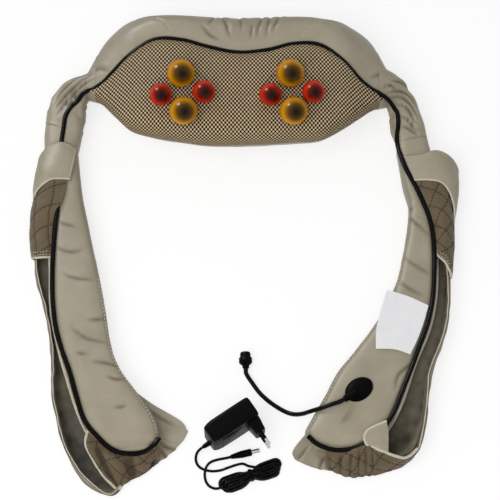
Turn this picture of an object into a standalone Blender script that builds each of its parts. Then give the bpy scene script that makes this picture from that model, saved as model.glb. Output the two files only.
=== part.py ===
"""Shiatsu neck massager: a padded neck cushion with two turning heads, two arms with hand muffs,
a control unit, a short cord and its mains adapter. It lies flat, mesh side up, on z = 0.

Sizes are in millimetres and become metres when an object is made. The origin is on the flat base of
the neck cushion, midway between the axes of the two heads. +X is the wearer's right, +Y the collar.
"""

import math

import bmesh
import bpy
from mathutils import Matrix, Vector

MM = 0.001
GAP = 0.3  # between pieces that touch
CORD_END_GAP = 0.6  # between a cord's end and what it runs into

# Massage heads and their drive
HEAD_X = 70.0
DISC_RADIUS = 37.0
DISC_GAP = 1.5
DISC_TOP = 99.0
DISC_DROP = 3.0
DISC_THICKNESS = 8.0
BIG_BALL_RADIUS = 18.0
BIG_BALL_ORBIT = 26.5
BIG_BALL_Z = 115.0
SMALL_BALL_RADIUS = 14.5
SMALL_BALL_ORBIT = 27.5
SMALL_BALL_Z = 111.5
BALL_STEM_RADIUS = 5.0
BALL_TURN = 4.0  # degrees that each head is turned at rest
SPINDLE_RADIUS = 4.0
WHEEL_TEETH = 24
WHEEL_PITCH_RADIUS = 24.0
WHEEL_WIDTH = 8.0
WHEEL_Z = 38.0
WORM_CORE_RADIUS = 5.6
WORM_THREAD_RADIUS = 1.5
WORM_TURNS = 3
THREAD_POINTS = 9  # per turn
WORM_CLEARANCE = 0.6
SHAFT_RADIUS = 2.6
SHAFT_END = 7.0  # from the shaft's end to the end of the gearbox base
MOTOR_RADIUS = 16.0
MOTOR_LENGTH = 66.0

# Gearbox
BASE_THICKNESS = 4.0
BASE_MARGIN = 14.0  # beyond the worm wheels, for the corner posts
BASE_FRONT_Y = -10.0
BASE_REAR_Y = 62.0
COVER_Z = 56.0
COVER_THICKNESS = 4.0
COVER_FRONT_Y = -26.0
POST_RADIUS = 5.0
BOSS_RADIUS = 9.0
BOSS_HEIGHT = 8.0
BUSH_WALL = 3.0
BUSH_LENGTH = 9.5
SCREW_RADIUS = 1.8
SCREW_LENGTH = 14.0

# Foam over the gearbox
FOAM_RIM = 3.5  # outside the heads' openings
FOAM_FRONT_Y = -34.0
FOAM_REAR_Y = 54.0
FOAM_HIGH = 88.0
FOAM_CORNER = 20.0

# Neck cushion: one row per station along X (x, lower wall y, piping y, collar y, crest z)
LEATHER = 3.0
MESH = 2.5
SEAM_GAP = 1.5
PIPING_RADIUS = 2.6
PIPING_LIFT = 1.5  # over the surface that it is sewn on
PIPING_SPACING = 13.0
END_PIPING_ANGLES = (20, 55, 90, 125, 160)  # round the end of an arm
STATIONS = [
    (0, -52, 68, 145, 100),
    (38, -52, 75, 145, 100),
    (74, -50, 84, 145, 100),
    (108, -45, 83, 143, 98),
    (138, -30, 62, 138, 91),
    (160, -8, 40, 122, 77),
    (180, 7, 34, 101, 63),
    (198, 18, 29, 64, 50),
]
# Section of the mesh panel: share of the way from lower wall to piping, share of the crest height
MESH_SECTION = [
    (0.06, 0.42),
    (0.0, 0.62),
    (0.02, 0.80),
    (0.07, 0.925),
    (0.16, 0.98),
    (0.5, 1.0),
    (0.84, 0.985),
    (0.95, 0.94),
    (1.0, 0.87),
]
# Section of the leather collar: share of the way from piping to collar edge, share of the crest height
COLLAR_SECTION = [
    (0.0, 0.87),
    (0.12, 0.885),
    (0.35, 0.86),
    (0.60, 0.74),
    (0.84, 0.54),
    (0.98, 0.34),
    (0.97, 0.14),
    (0.86, 0.03),
    (0.66, 0.0),
]
# Section of the leather underside: share of the way from lower wall to piping, share of crest height
UNDER_SECTION = [(0.75, 0.0), (0.5, 0.0), (0.24, 0.0), (0.15, 0.03), (0.09, 0.14), (0.07, 0.28), (0.06, 0.42)]

# Arms: pairs of points on the inner and the outer edge, from the gather to the end of the arm
ARM_BOTTOM = 3.5
ARM_TOP = 40.0
ARM_END_SHARE = 0.5  # thickness left at the very end
LEFT_ARM = [
    ((-209, -45), (-253, -45)),
    ((-203, -100), (-254, -102)),
    ((-193, -152), (-248, -158)),
    ((-179, -208), (-236, -214)),
    ((-166, -268), (-230, -280)),
    ((-150, -332), (-213, -337)),
    ((-124, -374), (-196, -389)),
    ((-105, -402), (-178, -420)),
    ((-97, -424), (-156, -439)),
    ((-102, -438), (-138, -447)),
]
RIGHT_ARM = [
    ((210, -45), (255, -45)),
    ((213, -98), (268, -100)),
    ((220, -140), (268, -150)),
    ((213, -184), (254, -192)),
    ((200, -234), (249, -252)),
    ((170, -294), (232, -310)),
    ((140, -326), (216, -350)),
    ((112, -371), (200, -384)),
    ((92, -408), (181, -416)),
    ((88, -428), (154, -440)),
    ((99, -441), (136, -447)),
]
LEFT_GATHER = [
    ((-198.6, 19), (-198.6, 62)),
    ((-205, 8), (-221, 55)),
    ((-207, -4), (-243, 34)),
    ((-206, -17), (-253, 8)),
    ((-207, -31), (-254, -20)),
    ((-209, -44.6), (-253, -44.6)),
]
RIGHT_GATHER = [
    ((198.6, 19), (198.6, 62)),
    ((205, 8), (223, 50)),
    ((209, -4), (241, 27)),
    ((210, -17), (250, 2)),
    ((210, -31), (254, -22)),
    ((210, -44.6), (255, -44.6)),
]
GATHER_LOW = 4.0
GATHER_HIGH_AT_NECK = 48.0
GATHER_RIPPLES = 5
GATHER_RIPPLE_SHARE = 0.03
HINGE_SHARE = 0.72  # where the arm folds, along the gather
FOLD_SHARE = 0.05  # left open by the piping on each side of the fold
FOLD_Y = -20.0
FOLD_Z = 42.0

# Hand muffs: lines along the muff from its top to the flap (x, y, z)
SHEET = 2.5
FLOOR = 1.7
LEFT_MUFF = [
    [(-212, -208), (-203, -264), (-190, -320), (-174, -366), (-160, -398), (-146, -418), (-134, -426),
     (-122, -424), (-112, -414), (-106, -398)],
    [(-257, -203), (-240, -256), (-228, -318), (-225, -372), (-211, -428), (-186, -472), (-154, -490),
     (-114, -462), (-82, -440), (-70, -412)],
    [(-264, -202, 14), (-247, -259, 14), (-236, -322, 14), (-233, -374, 14), (-219, -432, 14),
     (-192, -480, 13), (-154, -497, 10), (-112, -468, 5), (-77, -445, 3.5), (-64, -415, 3)],
    [(-261, -202, 30), (-244, -259, 30), (-232, -322, 31), (-230, -374, 31), (-216, -431, 30),
     (-190, -478, 28), (-154, -499, 20), (-112, -471, 8), (-75, -448, 5), (-60, -416, 4)],
]
RIGHT_MUFF = [
    [(230, -228), (222, -270), (208, -312), (194, -350), (180, -384), (168, -408), (152, -420),
     (134, -426), (116, -424), (104, -414)],
    [(268, -224), (258, -288), (239, -338), (231, -392), (219, -440), (200, -452), (174, -460),
     (143, -466), (104, -456), (76, -443)],
    [(276, -224, 14), (267, -291, 14), (247, -341, 14), (239, -394, 14), (227, -446, 13), (205, -461, 10),
     (177, -468, 6), (144, -474, 4), (102, -463, 3.5), (70, -447, 3)],
    [(274, -224, 30), (264, -291, 30), (244, -341, 31), (237, -394, 31), (225, -447, 26), (205, -463, 17),
     (177, -470, 9), (144, -477, 6), (101, -466, 5), (66, -449, 4)],
]
LEFT_BOTTOM_HOOD = [
    [(-188, -430, 28), (-162, -450, 28), (-130, -457, 28), (-92, -447, 25)],
    [(-182, -458, 24), (-156, -468, 23), (-122, -463, 19), (-88, -446, 14)],
    [(-163, -482, 5.4), (-146, -476, 4.4), (-117, -460, 4.3), (-88, -440, 4.3)],
]
RIGHT_BOTTOM_HOOD = [
    [(188, -427, 28), (160, -448, 28), (130, -456, 28), (90, -447, 25)],
    [(199, -440, 25), (168, -456, 24), (133, -463, 21), (88, -452, 16)],
    [(206, -444, 5.6), (176, -455, 4.1), (140, -464, 4.0), (90, -451, 4.0)],
]
CUFF_CLEARANCE = 8.0
HOOD_CLEARANCE = 5.5
HOOD_BULGE = 7.0
HOOD_FROM_PIPING = 20.0  # degrees round the pad between the piping and the hood's edge
WRAP_UNDER_ANGLE = -52.0

# Label, grommet, cord and socket on the right arm. The label's points are x, y and height over the arm.
LABEL = [
    [(203, -241, 0.9), (189, -277, 1.2), (176, -315, 1.2)],
    [(222, -250, 1.5), (211, -286, 1.6), (199, -321, 1.6)],
    [(240, -261, 0.0), (230, -294, 0.4), (218, -326, 0.0)],
]
LABEL_THICKNESS = 0.8
GROMMET = (152, -372)
GROMMET_RADII = (19.0, 14.0)
GROMMET_HEIGHT = 6.0
GROMMET_TURN = 35.0
CORD_RADIUS = 2.9
CORD_SPACING = 9.0
CORD_ROUTE = [
    (138, -383, 45.5), (127, -389, 46), (115, -393, 45), (103, -396, 40), (92, -397, 30), (82, -397, 18),
    (72, -395, 8), (62, -391, 3.6), (50, -384, 3.2), (38, -375, 3.2), (28, -365, 3.4), (19.5, -353.5, 5.0),
    (14.2, -346, 6.8), (11.6, -341, 7.5), (11.4, -336, 7.6),
]
SOCKET_RADIUS = 7.3
SOCKET_LENGTH = 24.0

# Control unit under the end of the right arm
CONTROL = (146, -386)
CONTROL_SIZE = (40.0, 28.0)
CONTROL_WALL = 2.0
CASE_DEPTH = 12.0
FASCIA_Z = 3.6
FASCIA_THICKNESS = 1.8
BOARD_THICKNESS = 1.6
BUTTON_RADIUS = 3.5
BUTTON_PITCH = 11.0
BUTTON_FLANGE = 1.1
BUTTON_STEM = 1.2
BUTTON_STEM_RADIUS = 2.0
BUTTON_PROUD = 1.6
BUTTON_TRAVEL = 1.2

# Mains adapter and its lead
ADAPTER = (-7, -414)
ADAPTER_TURN = 34.0
ADAPTER_SIZE = (66.0, 27.0, 57.0)
PLUG_BLOCK = (15.0, 17.0, 34.0)
PLUG_ALONG = 24.5
PIN_RADIUS = 2.0
PIN_LENGTH = 19.0
PIN_SPACING = 19.0
PIN_SEAT = 3.6
LEAD_RADIUS = 1.75
LEAD_SPACING = 8.0
LEAD_ROUTE = [
    (-41.8, -437.5, 9.5), (-45, -439.7, 9.2), (-49, -443.5, 6.5), (-51.5, -449.5, 3.6), (-50.5, -456, 2.2),
    (-46, -461, 2.0), (-39.5, -463.5, 2.0), (-32, -464, 2.2), (-25.5, -465.5, 2.9), (-20.5, -469.5, 3.5),
    (-18.3, -475, 3.7), (-17.95, -481.3, 3.7),
]
TAIL_ROUTE = [
    (-17.8, -483.1, 7.8), (-18.5, -488, 7.6), (-22, -493, 6.6), (-28, -494, 5.0), (-34, -490.5, 3.6),
    (-38.5, -484, 2.6), (-40, -476, 2.8), (-39.8, -470.5, 5.2), (-38, -464, 6.8), (-34.5, -458, 6.0),
    (-28.5, -454, 5.3), (-21, -452, 5.1), (-13.5, -450.6, 5.1), (-6.5, -448.9, 5.1),
]
HANK_CENTRE = (22, -473)
HANK_TURN = 13.0
HANK_HALF_LENGTH = 41.0
HANK_HALF_WIDTH = 22.5
HANK_LOOPS = 3  # in each of two layers
HANK_STEP = 4.1
HANK_WAIST = 7.0
HANK_WAIST_LENGTH = 16.0
HANK_LOW = 3.7
POINTS_PER_LOOP = 24
TIE_WIDTH = 6.0
TIE_THICKNESS = 1.2
PLUG_RADIUS = 4.6
PLUG_LENGTH = 27.0
BARREL_RADIUS = 2.75
BARREL_LENGTH = 10.0

FINISHES = {
    "taupe_leather": ("9E9884", 0.55, 0.0),
    "beige_mesh": ("A8977E", 0.9, 0.0),
    "quilted_fabric": ("695C4B", 0.85, 0.0),
    "black_cord": ("0D0B0A", 0.35, 0.0),
    "black_plastic": ("141414", 0.4, 0.0),
    "black_rubber": ("100F0E", 0.6, 0.0),
    "amber_plastic": ("C88C0A", 0.15, 0.0),
    "red_plastic": ("C8320F", 0.15, 0.0),
    "white_label": ("ECECEC", 0.8, 0.0),
    "grey_plastic": ("6E7276", 0.5, 0.0),
    "acetal": ("E4E1D6", 0.4, 0.0),
    "steel": ("B8BABD", 0.3, 1.0),
    "bronze": ("A9763C", 0.4, 1.0),
    "nickel": ("C9C6BE", 0.2, 1.0),
    "foam": ("D8D2B8", 0.95, 0.0),
    "board": ("1F5B38", 0.5, 0.0),
}


# Scene helpers


def clear_scene():
    for item in list(bpy.data.objects):
        bpy.data.objects.remove(item, do_unlink=True)


def collection(name):
    made = bpy.data.collections.new(name)
    bpy.context.scene.collection.children.link(made)
    return made


def linear(hex_colour):
    channels = [int(hex_colour[i : i + 2], 16) / 255 for i in (0, 2, 4)]
    return [c / 12.92 if c <= 0.04045 else ((c + 0.055) / 1.055) ** 2.4 for c in channels] + [1.0]


def finish(name):
    if name in bpy.data.materials:
        return bpy.data.materials[name]
    colour, roughness, metallic = FINISHES[name]
    made = bpy.data.materials.new(name)
    made.use_nodes = True
    shader = made.node_tree.nodes["Principled BSDF"]
    shader.inputs["Base Color"].default_value = linear(colour)
    shader.inputs["Roughness"].default_value = roughness
    shader.inputs["Metallic"].default_value = metallic
    return made


def place(name, mesh, finish_name, at=(0, 0, 0), parent=None, turn=None):
    """A named part made from a mesh. at is in millimetres, relative to the parent."""
    made = bpy.data.objects.new(name, mesh)
    mesh.materials.clear()
    mesh.materials.append(finish(finish_name))
    mesh.shade_smooth()
    mesh.set_sharp_from_angle(angle=math.radians(40))
    PARTS.objects.link(made)
    made.location = Vector(at) * MM
    if turn:
        made.rotation_euler = turn
    if parent:
        made.parent = parent
    return made


def helper(name, mesh, at=(0, 0, 0), turn=None):
    """A cutter or a piece to be joined, which isn't a part itself."""
    made = bpy.data.objects.new(name, mesh)
    CUTTERS.objects.link(made)
    made.location = Vector(at) * MM
    if turn:
        made.rotation_euler = turn
    made.hide_render = True
    made.display_type = "WIRE"
    return made


def pivot(name, at):
    made = bpy.data.objects.new(name, None)
    PARTS.objects.link(made)
    made.location = Vector(at) * MM
    return made


def combine(target, tool, operation):
    step = target.modifiers.new(operation.lower() + "_" + tool.name, "BOOLEAN")
    step.operation = operation
    step.solver = "EXACT"
    step.object = tool


# Mesh helpers


def mesh_from(build):
    """A mesh filled by a bmesh function, in millimetres, scaled to metres."""
    shape = bmesh.new()
    build(shape)
    bmesh.ops.scale(shape, vec=(MM, MM, MM), verts=shape.verts)
    bmesh.ops.recalc_face_normals(shape, faces=shape.faces)
    mesh = bpy.data.meshes.new("shape")
    shape.to_mesh(mesh)
    shape.free()
    return mesh


def box(size, centre=(0, 0, 0), bevel=0.0):
    def build(shape):
        bmesh.ops.create_cube(shape, size=1, matrix=Matrix.Translation(centre) @ Matrix.Diagonal((*size, 1)))
        if bevel:
            bmesh.ops.bevel(shape, geom=shape.edges[:], offset=bevel, segments=2, profile=0.5, affect="EDGES")

    return mesh_from(build)


def cylinder(radius, low, high, sides=32, top_radius=None):
    def build(shape):
        bmesh.ops.create_cone(
            shape,
            cap_ends=True,
            segments=sides,
            radius1=radius,
            radius2=radius if top_radius is None else top_radius,
            depth=high - low,
            matrix=Matrix.Translation((0, 0, (low + high) / 2)),
        )

    return mesh_from(build)


def turned(profile, sides=32):
    """A turned solid. The profile (radius, z) runs down the outer side, closed if it has a bore."""
    source = bpy.data.meshes.new("profile")
    closed = profile[0] == profile[-1]
    points = profile[:-1] if closed else profile
    edges = [(i, i + 1) for i in range(len(points) - 1)]
    if closed:
        edges.append((len(points) - 1, 0))
    source.from_pydata([(r * MM, 0, z * MM) for r, z in points], edges, [])
    spun = bpy.data.objects.new("profile", source)
    CUTTERS.objects.link(spun)
    screw = spun.modifiers.new("turn", "SCREW")
    screw.steps = screw.render_steps = sides
    screw.use_merge_vertices = True
    screw.merge_threshold = 0.00001
    return evaluated_mesh(spun)


def evaluated_mesh(source):
    """The evaluated mesh of a helper object, welded, after which the helper is removed."""
    bpy.context.view_layer.update()
    graph = bpy.context.evaluated_depsgraph_get()
    mesh = bpy.data.meshes.new_from_object(source.evaluated_get(graph))
    shape = bmesh.new()
    shape.from_mesh(mesh)
    bmesh.ops.remove_doubles(shape, verts=shape.verts, dist=0.00001)
    bmesh.ops.recalc_face_normals(shape, faces=shape.faces)
    shape.to_mesh(mesh)
    shape.free()
    bpy.data.objects.remove(source, do_unlink=True)
    return mesh


def plate(outline, low, high):
    """A flat outline between two heights."""
    curve = bpy.data.curves.new("outline", "CURVE")
    curve.dimensions = "2D"
    curve.fill_mode = "BOTH"
    curve.extrude = (high - low) / 2 * MM
    line = curve.splines.new("POLY")
    line.points.add(len(outline) - 1)
    for point, (x, y) in zip(line.points, outline):
        point.co = (x * MM, y * MM, 0, 1)
    line.use_cyclic_u = True
    source = bpy.data.objects.new("outline", curve)
    CUTTERS.objects.link(source)
    mesh = evaluated_mesh(source)
    mesh.transform(Matrix.Translation((0, 0, (low + high) / 2 * MM)))
    return mesh


def rounded_rectangle(x0, x1, y0, y1, radius, steps=4):
    corners = [(x1 - radius, y1 - radius, 0), (x0 + radius, y1 - radius, 90),
               (x0 + radius, y0 + radius, 180), (x1 - radius, y0 + radius, 270)]
    outline = []
    for x, y, start in corners:
        for i in range(steps + 1):
            angle = math.radians(start + 90 * i / steps)
            outline.append((x + radius * math.cos(angle), y + radius * math.sin(angle)))
    return outline


def tube(points, radius, resolution=2):
    """A round tube along points in millimetres."""
    curve = bpy.data.curves.new("tube", "CURVE")
    curve.dimensions = "3D"
    curve.bevel_depth = radius * MM
    curve.bevel_resolution = resolution
    curve.use_fill_caps = True
    line = curve.splines.new("POLY")
    line.points.add(len(points) - 1)
    for point, place_at in zip(line.points, points):
        point.co = (*(Vector(place_at) * MM), 1)
    source = bpy.data.objects.new("tube", curve)
    CUTTERS.objects.link(source)
    return evaluated_mesh(source)


def between(points, at):
    """A smooth curve through points: at runs from 0 at the first to len - 1 at the last."""
    last = len(points) - 1
    i = min(int(at), last - 1)
    u = at - i
    p1, p2 = Vector(points[i]), Vector(points[i + 1])
    p0 = Vector(points[i - 1]) if i > 0 else 2 * p1 - p2
    p3 = Vector(points[i + 2]) if i + 2 <= last else 2 * p2 - p1
    return 0.5 * (
        2 * p1 + (p2 - p0) * u + (2 * p0 - 5 * p1 + 4 * p2 - p3) * u**2 + (3 * p1 - p0 - 3 * p2 + p3) * u**3
    )


def sampled(points, count):
    last = len(points) - 1
    return [between(points, last * i / (count - 1)) for i in range(count)]


def evenly(points, spacing):
    """Points about evenly spaced along a smooth curve through the route's own points."""
    fine = sampled(points, 40 * len(points))
    total = sum((b - a).length for a, b in zip(fine, fine[1:]))
    count = max(2, round(total / spacing))
    picked, walked, wanted = [fine[0]], 0.0, total / count
    for a, b in zip(fine, fine[1:]):
        walked += (b - a).length
        if walked >= wanted * len(picked) and len(picked) < count:
            picked.append(b)
    return picked + [fine[-1]]


def grid_mesh(rows, closed=False):
    """A surface through rows of points. A closed one is a solid with flat ends."""

    def build(shape):
        lines = [[shape.verts.new(p) for p in row] for row in rows]
        width = len(rows[0])
        spans = width if closed else width - 1
        for low, high in zip(lines, lines[1:]):
            for i in range(spans):
                j = (i + 1) % width
                shape.faces.new((low[i], low[j], high[j], high[i]))
        if closed:
            shape.faces.new(lines[0])
            shape.faces.new(lines[-1])

    return mesh_from(build)


def sheet(name, rows, thickness, finish_name, offset=0.0):
    """An open surface with a thickness."""
    made = place(name, grid_mesh(rows), finish_name)
    solid = made.modifiers.new("thickness", "SOLIDIFY")
    solid.thickness = thickness * MM
    solid.offset = offset
    solid.use_even_offset = True
    return made


def lofted(guides, along, across, low=-1e9):
    """Rows of points on a smooth surface through guide lines that have equally many points."""
    lines = [sampled([(*p, FLOOR) if len(p) == 2 else p for p in guide], along) for guide in guides]
    rows = []
    for i in range(along):
        row = sampled([line[i] for line in lines], across)
        rows.append([(p.x, p.y, max(p.z, low)) for p in row])
    return rows


# Rounded soft tubes: arms and gathers


def power(value, exponent):
    return math.copysign(abs(value) ** exponent, value)


class Padding:
    """A stuffed tube between an inner and an outer edge. Angle 0 is the outer edge, 90 the top."""

    def __init__(self, pairs, low, high, high_at_start=None, end_share=1.0, ripples=0):
        self.inner = [(*a, 0) for a, b in pairs]
        self.outer = [(*b, 0) for a, b in pairs]
        self.low, self.high, self.end_share, self.ripples = low, high, end_share, ripples
        self.high_at_start = high if high_at_start is None else high_at_start

    def point(self, share, angle, offset=0.0):
        at = share * (len(self.inner) - 1)
        inner, outer = between(self.inner, at), between(self.outer, at)
        high = self.high_at_start + (self.high - self.high_at_start) * share
        half_height = (high - self.low) / 2
        middle = self.low + half_height
        near_end = max(0.0, (share - 0.88) / 0.12)
        half_height *= 1 - (1 - self.end_share) * near_end**2
        ripple = 1 + GATHER_RIPPLE_SHARE * math.sin(2 * math.pi * self.ripples * share)
        half_width = (outer - inner).length / 2 * ripple + offset
        half_height = half_height * (2 - ripple) + offset
        turn = math.radians(angle)
        side = (outer - inner).normalized() * half_width * power(math.cos(turn), 0.75)
        up = Vector((0, 0, middle + half_height * power(math.sin(turn), 0.75)))
        return (inner + outer) / 2 + side + up

    def rows(self, along, around):
        shares = [i / (along - 1) for i in range(along)]
        return [[self.point(s, 360 * j / around) for j in range(around)] for s in shares]

    def middle(self, share):
        at = share * (len(self.inner) - 1)
        return (between(self.inner, at) + between(self.outer, at)) / 2

    def share_at_y(self, y):
        """How far along the padding its middle line comes down to y."""
        shares = [i / 4000 for i in range(4001)]
        return min(shares, key=lambda s: abs(self.middle(s).y - y))


def wrap(name, padding, y_range, edges, clearance, bulge, finish_name, along=7, across=8):
    """A sheet round a padding, with its hems at two y values and its edges at a pair of angles at each."""
    start, stop = (padding.share_at_y(y) for y in y_range)
    (first_start, last_start), (first_stop, last_stop) = edges
    rows = []
    for i in range(along):
        u = i / (along - 1)
        share = start + (stop - start) * u
        first = first_start + (first_stop - first_start) * u
        last = last_start + (last_stop - last_start) * u
        row = []
        for j in range(across):
            v = j / (across - 1)
            lift = clearance + bulge * math.sin(math.pi * min(1.0, v * 1.15)) ** 2
            p = padding.point(share, first + (last - first) * v, lift)
            row.append((p.x, p.y, max(p.z, FLOOR)))
        rows.append(row)
    return sheet(name, rows, SHEET, finish_name)


# Neck cushion


def cushion_lines(section):
    """Guide lines along the cushion for the (kind, share, height) points of a section."""
    stations = [(-s[0], *s[1:]) for s in reversed(STATIONS[1:])] + STATIONS
    lines = []
    for kind, share, height in section:
        line = []
        for x, wall, piping, collar, crest in stations:
            y = piping + (collar - piping) * share if kind == "collar" else wall + (piping - wall) * share
            line.append((x, y, crest * height))
        lines.append(line)
    return lines


def trimmed(rows, at_start, at_stop):
    """Rows whose first and last points are pulled back along the row, to leave a seam."""
    kept = []
    for row in rows:
        points = [Vector(p) for p in row]
        points[0] += (points[1] - points[0]).normalized() * at_start
        points[-1] += (points[-2] - points[-1]).normalized() * at_stop
        kept.append([tuple(p) for p in points])
    return kept


def neck_cushion():
    mesh_lines = cushion_lines([("mesh", s, h) for s, h in MESH_SECTION])
    rows = trimmed(lofted(mesh_lines, 21, 10), SEAM_GAP / 2, SEAM_GAP / 2)
    panel = sheet("mesh_panel", rows, MESH, "beige_mesh", offset=-1.0)
    leather = [("collar", s, h) for s, h in COLLAR_SECTION] + [("mesh", s, h) for s, h in UNDER_SECTION]
    rows = trimmed(lofted(cushion_lines(leather), 19, 16, low=0.0), SEAM_GAP / 2, SEAM_GAP / 2)
    cover = sheet("rear_cover", rows, LEATHER, "taupe_leather", offset=-1.0)
    for made in (panel, cover):
        outward(made)
    for side in (-1, 1):
        hole = helper("head_hole", cylinder(DISC_RADIUS + DISC_GAP, 60, 140, 24), (side * HEAD_X, 0, 0))
        combine(panel, hole, "DIFFERENCE")
    foam_outline = rounded_rectangle(-FOAM_HALF_X, FOAM_HALF_X, FOAM_FRONT_Y, FOAM_REAR_Y, FOAM_CORNER)
    foam = place("front_foam", plate(foam_outline, FOAM_LOW, FOAM_HIGH), "foam")
    for side in (-1, 1):
        hole = helper("foam_hole", cylinder(DISC_RADIUS + DISC_GAP, 40, 140, 20), (side * HEAD_X, 0, 0))
        combine(foam, hole, "DIFFERENCE")


def outward(made):
    """Turn an open shell so that its faces look away from the middle of the cushion."""
    centre = Vector((0, 30, 45)) * MM
    mesh = made.data
    facing = sum(p.normal.dot((p.center - centre).normalized()) * p.area for p in mesh.polygons)
    if facing < 0:
        mesh.flip_normals()


def neck_piping(left, right):
    """Black piping from the fold of one arm over the cushion to the fold of the other."""
    lift = PIPING_RADIUS + PIPING_LIFT
    on, after = (
        sampled(line, 61)
        for line in cushion_lines([("mesh", *MESH_SECTION[-1]), ("collar", *COLLAR_SECTION[1])])
    )
    top = []
    for i in range(2, len(on) - 2, 4):
        across = (after[i] - on[i]).normalized()
        normal = (on[i + 1] - on[i - 1]).cross(across).normalized()
        top.append(on[i] + across * PIPING_RADIUS + normal * lift)
    left_part = [left.point(s, a, lift) for s, a in LEFT_GATHER_PIPING]
    right_part = [right.point(s, a, lift) for s, a in RIGHT_GATHER_PIPING]
    route = list(reversed(left_part)) + top + right_part
    place("neck_piping", tube(evenly(route, PIPING_SPACING), PIPING_RADIUS, 1), "black_cord")


# Massage heads and drive


def carrier(side, head, parent):
    """Ball carrier: a crowned disc on a hub, with a hole for each ball's stem."""
    rim_top = DISC_TOP - DISC_DROP
    bottom = rim_top - DISC_THICKNESS
    hub_low = COVER_Z + COVER_THICKNESS + 6.5
    bore = SPINDLE_RADIUS + GAP
    profile = [
        (0, DISC_TOP), (14, DISC_TOP - 0.3), (26, DISC_TOP - 1.2), (DISC_RADIUS - 1.5, rim_top + 0.3),
        (DISC_RADIUS, rim_top - 1), (DISC_RADIUS, bottom), (12, bottom), (10, bottom - 2), (10, hub_low),
        (bore, hub_low), (bore, bottom + 2), (0, bottom + 2),
    ]
    made = place(side + "_carrier", turned(profile, 16), "black_plastic", parent=parent)
    for index, (orbit, angle) in enumerate(head):
        x, y = orbit * math.cos(angle), orbit * math.sin(angle)
        centre = parent.location / MM
        hole = helper("stem_hole_" + str(index), cylinder(BALL_STEM_RADIUS + GAP, 60, 140, 12),
                      (centre.x + x, centre.y + y, 0))
        combine(made, hole, "DIFFERENCE")


def ball(name, radius, height, orbit, angle, finish_name, parent):
    """A massage ball on a stem that sits in the carrier."""
    base = DISC_TOP + GAP - height
    start = math.asin(base / radius)
    steps = 6
    arc = [math.pi / 2 + (start - math.pi / 2) * i / steps for i in range(steps + 1)]
    profile = [(radius * math.cos(a), radius * math.sin(a)) for a in arc]
    profile[0] = (0, radius)
    stem_low = DISC_TOP - DISC_DROP - DISC_THICKNESS + 1 - height
    profile += [(BALL_STEM_RADIUS, base), (BALL_STEM_RADIUS, stem_low), (0, stem_low)]
    at = (orbit * math.cos(angle), orbit * math.sin(angle), height)
    place(name, turned(profile, 12), finish_name, at, parent)


def worm_wheel(name, parent):
    """Worm wheel with teeth that lean with the worm's thread, and a long hub on the lower boss."""
    axis_gap = WORM_Y
    tip = axis_gap - WORM_CORE_RADIUS - WORM_CLEARANCE
    root = axis_gap - WORM_TIP - WORM_CLEARANCE
    pitch = 2 * math.pi / WHEEL_TEETH
    half_at_tip, half_at_root = 0.5 / tip, 0.95 / root
    lean = WHEEL_WIDTH / 2 * (WORM_PITCH / (2 * math.pi * WORM_MEAN)) / WHEEL_PITCH_RADIUS
    levels = [(-WHEEL_WIDTH / 2, -lean), (WHEEL_WIDTH / 2, lean)]
    tooth_points = ((root, -half_at_root), (tip, -half_at_tip), (tip, half_at_tip), (root, half_at_root))
    rows = []
    for z, turn in levels:
        row = []
        for tooth in range(WHEEL_TEETH):
            middle = math.pi / 2 + (tooth + 0.5) * pitch + turn
            for radius, half in tooth_points:
                angle = middle + half
                row.append((radius * math.cos(angle), radius * math.sin(angle), WHEEL_Z + z))
        rows.append(row)
    made = place(name, grid_mesh(rows, closed=True), "acetal", parent=parent)
    hub_low = BOSS_TOP + 0.5
    hub = helper("wheel_hub", cylinder(BOSS_RADIUS, hub_low, WHEEL_Z + 8, 12), parent.location / MM)
    combine(made, hub, "UNION")
    bore = helper("wheel_bore", cylinder(SPINDLE_RADIUS + GAP, 0, 90, 12), parent.location / MM)
    combine(made, bore, "DIFFERENCE")


def heads():
    turn = math.radians(BALL_TURN)
    for side, sign in (("left", -1), ("right", 1)):
        axis = pivot(side + "_head_axis", (sign * HEAD_X, 0, 0))
        spindle_top = DISC_TOP - DISC_DROP - DISC_THICKNESS + 1.5
        rod = cylinder(SPINDLE_RADIUS, BASE_TOP + 2 * GAP, spindle_top, 12)
        place(side + "_spindle", rod, "steel", parent=axis)
        worm_wheel(side + "_worm_wheel", axis)
        big = [(BIG_BALL_ORBIT, turn + math.pi / 2), (BIG_BALL_ORBIT, turn - math.pi / 2)]
        small = [(SMALL_BALL_ORBIT, turn), (SMALL_BALL_ORBIT, turn + math.pi)]
        carrier(side, big + small, axis)
        for end, spot in zip(("upper", "lower"), big):
            ball(f"{side}_{end}_large_ball", BIG_BALL_RADIUS, BIG_BALL_Z, *spot, "amber_plastic", axis)
        for end, spot in zip(("outer", "inner") if sign > 0 else ("inner", "outer"), small):
            ball(f"{side}_{end}_small_ball", SMALL_BALL_RADIUS, SMALL_BALL_Z, *spot, "red_plastic", axis)


def along_x(mesh):
    """A mesh made along Z, laid along X."""
    mesh.transform(Matrix.Rotation(math.pi / 2, 4, "Y"))
    return mesh


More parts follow.
